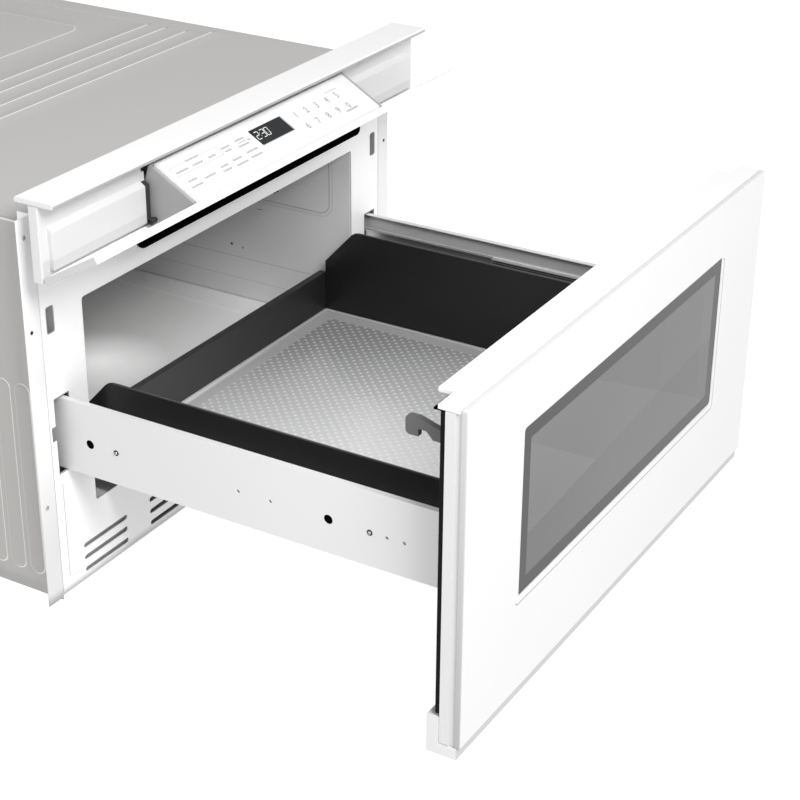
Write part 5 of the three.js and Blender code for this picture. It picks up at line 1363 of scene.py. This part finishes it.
# Print on the control glass: each word is a row of small plain blocks.
def makePrint():
    look = panelLook
    lift = look["lift"]
    cap = look["capHeight"]
    blocks = []
    for start, end, height in look["words"]:
        x = start
        i = 0
        while x < end - look["wordEnd"]:
            width = look["glyphs"][i % len(look["glyphs"])]
            tall = cap * (1.0 if i % 3 == 0 else look["lowLetter"])
            middle = height - (cap - tall) / 2
            blocks.append(glassPlate(x + width / 2, middle, width / 2, tall / 2, 0.25, lift))
            x += width + look["glyphGap"]
            i += 1
    addPiece("panelWords", mergeParts("panelWords", blocks), "control_panel", "print_grey")
    start, end, height = look["smallWord"]
    half, pitch = look["smallDot"]
    small = [glassPlate(x, height, half, half, 0.15, lift) for x in np.arange(start, end, pitch)]
    left, right, low, high, corner = look["box"]
    line = look["boxLine"]
    breakStart, breakEnd = look["boxBreak"]
    spans = [
        (left + corner, right - corner, low),
        (left + corner, breakStart, high),
        (breakEnd, right - corner, high),
    ]
    for a, b, s in spans:
        small.append(glassPlate((a + b) / 2, s, (b - a) / 2, line, line, lift))
    for x in (left, right):
        small.append(glassPlate(x, (low + high) / 2, line, (high - low) / 2 - corner, line, lift))
    turn = np.linspace(0, 90, 4)
    for endX, endS, base in ((right, high, 0), (left, high, 90), (left, low, 180), (right, low, 270)):
        signX = -1 if endX == right else 1
        signS = -1 if endS == high else 1
        for a in (turn[:-1] + turn[1:]) / 2:
            angle = np.radians(base + a)
            x = endX + signX * corner + np.cos(angle) * corner
            s = endS + signS * corner + np.sin(angle) * corner
            small.append(glassPlate(x, s, 0.3, 0.3, 0.2, lift))
    addPiece("panelLines", mergeParts("panelLines", small), "control_panel", "print_pale")
    (x0, s0), (x1, s1), half = look["redLine"]
    red = [glassPlate((x0 + x1) / 2, (s0 + s1) / 2, (x1 - x0) / 2, half, 0.2, lift)]
    addPiece("panelRedLine", mergeParts("panelRedLine", red), "control_panel", "print_red")
    print("print on the control glass")


# plain numerals, cut from Blender's own letter shapes and laid on the glass
def makeNumerals():
    look = panelLook
    origin, across, up = glassFrame()
    normal = np.cross(across, up)
    scale, narrow = look["digitShape"]
    points, faces, start = [], [], 0
    for row, first, pitch, height in look["digits"]:
        for i, character in enumerate(row):
            curve = bpy.data.curves.new("numeral", "FONT")
            curve.body = character
            curve.size = look["digitHeight"] * scale
            curve.align_x = "CENTER"
            curve.align_y = "CENTER"
            curve.resolution_u = 4
            curve.extrude = look["lift"] / 2
            carrier = bpy.data.objects.new("numeral", curve)
            flat = bpy.data.meshes.new_from_object(carrier)
            local = np.empty(len(flat.vertices) * 3)
            flat.vertices.foreach_get("co", local)
            local = local.reshape(-1, 3)
            middle = (local.min(0) + local.max(0)) / 2
            local = (local - middle) * (narrow, 1, 1)
            place = onGlass(first + i * pitch, height)
            rise = local[:, 2:] + look["lift"] / 2
            points.append(place + local[:, :1] * across + local[:, 1:2] * up + rise * normal)
            faces += [[start + v for v in face.vertices] for face in flat.polygons]
            start += len(local)
            bpy.data.objects.remove(carrier)
            bpy.data.curves.remove(curve)
            bpy.data.meshes.remove(flat)
    mesh = makeMesh("panelNumerals", np.concatenate(points), faces)
    addPiece("panelNumerals", mesh, "control_panel", "print_dark")


# Seven strokes make a numeral: (from, to) on a grid one wide and two high.
strokes = {
    "a": ((0, 2), (1, 2)), "b": ((1, 1), (1, 2)), "c": ((1, 0), (1, 1)), "d": ((0, 0), (1, 0)),
    "e": ((0, 0), (0, 1)), "f": ((0, 1), (0, 2)), "g": ((0, 1), (1, 1)),
}
strokesOf = {"0": "abcdef", "2": "abged", "3": "abgcd"}


# the lit figures of the clock, leaning a little, and the thin frame right of and below the display
def makeClock():
    look = panelLook
    wide, tall = look["clockSize"]
    startX, startS = look["clockStart"]
    half = look["clockStroke"] / 2
    proud, sunk = look["clockLift"]
    origin, across, up = glassFrame()
    parts = []

    def place(x, s):
        return onGlass(startX + x + s * look["clockSlant"], startS + s)

    for offset, numeral in look["clock"]:
        for name in strokesOf[numeral]:
            (x0, s0), (x1, s1) = strokes[name]
            a = place(offset + x0 * wide, s0 * tall / 2)
            b = place(offset + x1 * wide, s1 * tall / 2)
            along = unit(b - a)
            side = unit(np.cross(np.cross(across, up), along))
            outline = roundedOutline(np.linalg.norm(b - a) / 2 - half * 0.6, half, half * 0.7, 2)
            parts.append(platePart(outline, (a + b) / 2, along, side, proud, sunk))
    for s in look["colonHeights"]:
        dot = roundedOutline(half, half, half, 3)
        parts.append(platePart(dot, place(look["clockColon"], s * tall), across, up, proud, sunk))
    addPiece("clockFigures", mergeParts("clockFigures", parts), "control_panel", "lit_white")
    left, right, low, high = look["lens"]
    rightHalf, lowHalf, lift = look["lensRim"]
    rim = [
        glassPlate(right + 0.5, (low + high) / 2, rightHalf, (high - low) / 2 + 0.6, 0.5, lift),
        glassPlate((left + right) / 2, low - 0.3, (right - left) / 2 + 0.5, lowHalf, 0.3, lift),
    ]
    addPiece("displayRim", mergeParts("displayRim", rim), "control_panel", "print_pale")
    print("clock figures made")


makePrint()
makeNumerals()
makeClock()


screwLook = {
    "head": (2.2, 1.0),  # radius and height
    "flangeHeads": [(-291.8, 364.9), (291.8, 364.9), (-291.8, 104.2), (291.8, 104.2)],
    "flangeHoles": [(-291.8, 277.5), (291.8, 277.5)],
    "hole": (1.7, 0.12),
    "memberHead": (1.6, 1.3),
    "memberScrews": [(-58.9, 163.5), (-320.5, 163.5)],
    "memberPlugs": [(-29.5, 163.5), (-280, 163.5)],
    "memberFace": 262.0,
    "shadow": (2.8, 0.16),  # painted shadow: the dark ring under a member's screw
    "dimple": [(0.05, -0.2), (4.6, -0.2), (4.6, 0.03), (4.3, 0.14), (3.9, 0.05), (0.05, 0.05)],
    "plug": (5.1, -1.4, -2.6),  # radius of the dark disc sunk in each hole, and its face and back behind the member's face
}


# profile of a round screw head with a hollow at its middle
def screwHead(radius, proud):
    return [
        (radius * 0.6, -0.6), (radius, -0.1), (radius, proud * 0.25), (radius * 0.85, proud * 0.75),
        (radius * 0.5, proud), (radius * 0.3, proud), (radius * 0.2, proud * 0.45), (0.05, proud * 0.4),
    ]


# profile of a thin round disc
def disc(radius, proud, sunk=0.2):
    return [(0.05, -sunk), (radius, -sunk), (radius, proud), (0.05, proud)]


# screws and holes of the two flanges, and screws with painted shadow rings under them and dark discs sunk in the
# holes of the two side members
def makeScrews():
    look = screwLook
    front = (0, -1, 0)
    heads = [turnedPart(screwHead(*look["head"]), (x, 0, z), front, 16) for x, z in look["flangeHeads"]]
    addPiece("flangeScrews", mergeParts("flangeScrews", heads), "cabinet", "screw_steel")
    holes = [turnedPart(disc(*look["hole"]), (x, 0, z), front, 16) for x, z in look["flangeHoles"]]
    addPiece("flangeHoles", mergeParts("flangeHoles", holes), "cabinet", "line_dark")
    heads, dimples, wells, shadows = [], [], [], []
    radius, face, back = look["plug"]
    for side in (-1, 1):
        member = side * look["memberFace"]
        outward = (side, 0, 0)
        for y, z in look["memberScrews"]:
            heads.append(turnedPart(screwHead(*look["memberHead"]), (member, y, z), outward, 16))
            shadows.append(turnedPart(disc(*look["shadow"]), (member, y, z), outward, 20))
            dimples.append(turnedPart(look["dimple"], (member, y, z), outward, 20))
        for y, z in look["memberPlugs"]:
            wells.append(turnedPart(disc(radius, face, -back), (member, y, z), outward, 24))
    addPiece("memberScrews", mergeParts("memberScrews", heads), "drawer", "screw_steel")
    addPiece("memberDimples", mergeParts("memberDimples", dimples), "drawer", "member_paint")
    addPiece("memberRings", mergeParts("memberRings", shadows), "drawer", "line_dark")
    addPiece("memberPlugs", mergeParts("memberPlugs", wells), "drawer", "black_plastic")
    print("screws made")


makeScrews()


dotLook = {
    "wall": 223.45,
    "dark": [(158.9, 145.9, 1.5), (98.6, 219.0, 1.3), (95.1, 221.3, 1.3)],  # y, z, radius
    "grey": [(143.6, 144.2, 1.3)],
    "proud": 0.12,
    "sunk": 0.5,
    "ticks": [(117.9, 195.2), (119.9, 195.2)],
}


# holes and marks on the cavity's two side walls
def makeWallDots():
    look = dotLook
    dark, pale = [], []
    for side in (-1, 1):
        face = side * look["wall"]
        inward = (-side, 0, 0)
        for places, parts in ((look["dark"], dark), (look["grey"], pale)):
            for y, z, radius in places:
                parts.append(turnedPart(disc(radius, look["proud"], look["sunk"]), (face, y, z), inward, 16))
        for y, z in look["ticks"]:
            along, up = np.array([0.0, side, 0]), np.array([0.0, 0, -1.0])
            tick = roundedOutline(0.45, 2.0, 0.3, 2)
            pale.append(platePart(tick, np.array([face, y, z]), up, along, 0.1, 0.3))
    addPiece("wallHoles", mergeParts("wallHoles", dark), "cabinet", "line_dark")
    addPiece("wallMarks", mergeParts("wallMarks", pale), "cabinet", "line_grey")


makeWallDots()
print("cavity marks made")


coverLook = {
    "gapBar": (279.45, 18.75, 285.0, 34.0, 0.75),  # painted shade in the gap beside each flange: side, middle y and z, half height and width
    "louvreBack": (-212.5, 2.6, 28.7, 36.0, 18.5),  # middle, half width and height
    "capBlack": (-289.5, -404.0, 318.0, 12.5, 3.4),  # middle, half width and depth
    "slotCover": (209.4, 14.7, 132.8, 8.5, 5.2),  # side, middle y and z, half height and width
}


# small flat pieces: a dark bar of painted shade in the gap beside each flange, the sheet behind the left louvres,
# the dark ground under the notch of the door's top cap, and the covers of the slots in the tub's walls
def makeCovers():
    look = coverLook
    across, back, up = np.eye(3)
    x, y, z, tall, wide = look["gapBar"]
    bars = [
        platePart(roundedOutline(tall, wide, 0.3, 2), np.array([side * x, y, z]), up, -side * back, 0.15)
        for side in (-1, 1)
    ]
    addPiece("flangeGaps", mergeParts("flangeGaps", bars), "cabinet", "line_dark")
    x, y, z, wide, tall = look["louvreBack"]
    sheet = [platePart(roundedOutline(wide, tall, 0.3, 2), np.array([x, y, z]), across, up, 0.2)]
    addPiece("louvreBack", mergeParts("louvreBack", sheet), "cabinet", "line_grey")
    x, y, z, wide, deep = look["capBlack"]
    grounds = [platePart(roundedOutline(wide, deep, 0.3, 2), np.array([x, y, z]), across, back, 0.05, 1.2)]
    addPiece("capGrounds", mergeParts("capGrounds", grounds), "drawer", "black_plastic")
    x, y, z, tall, wide = look["slotCover"]
    covers = [
        platePart(roundedOutline(tall, wide, 2, 3), np.array([side * x, y, z]), up, side * back, 0.1)
        for side in (-1, 1)
    ]
    addPiece("slotCovers", mergeParts("slotCovers", covers), "drawer", "black_enamel")


makeCovers()
print("covers made")
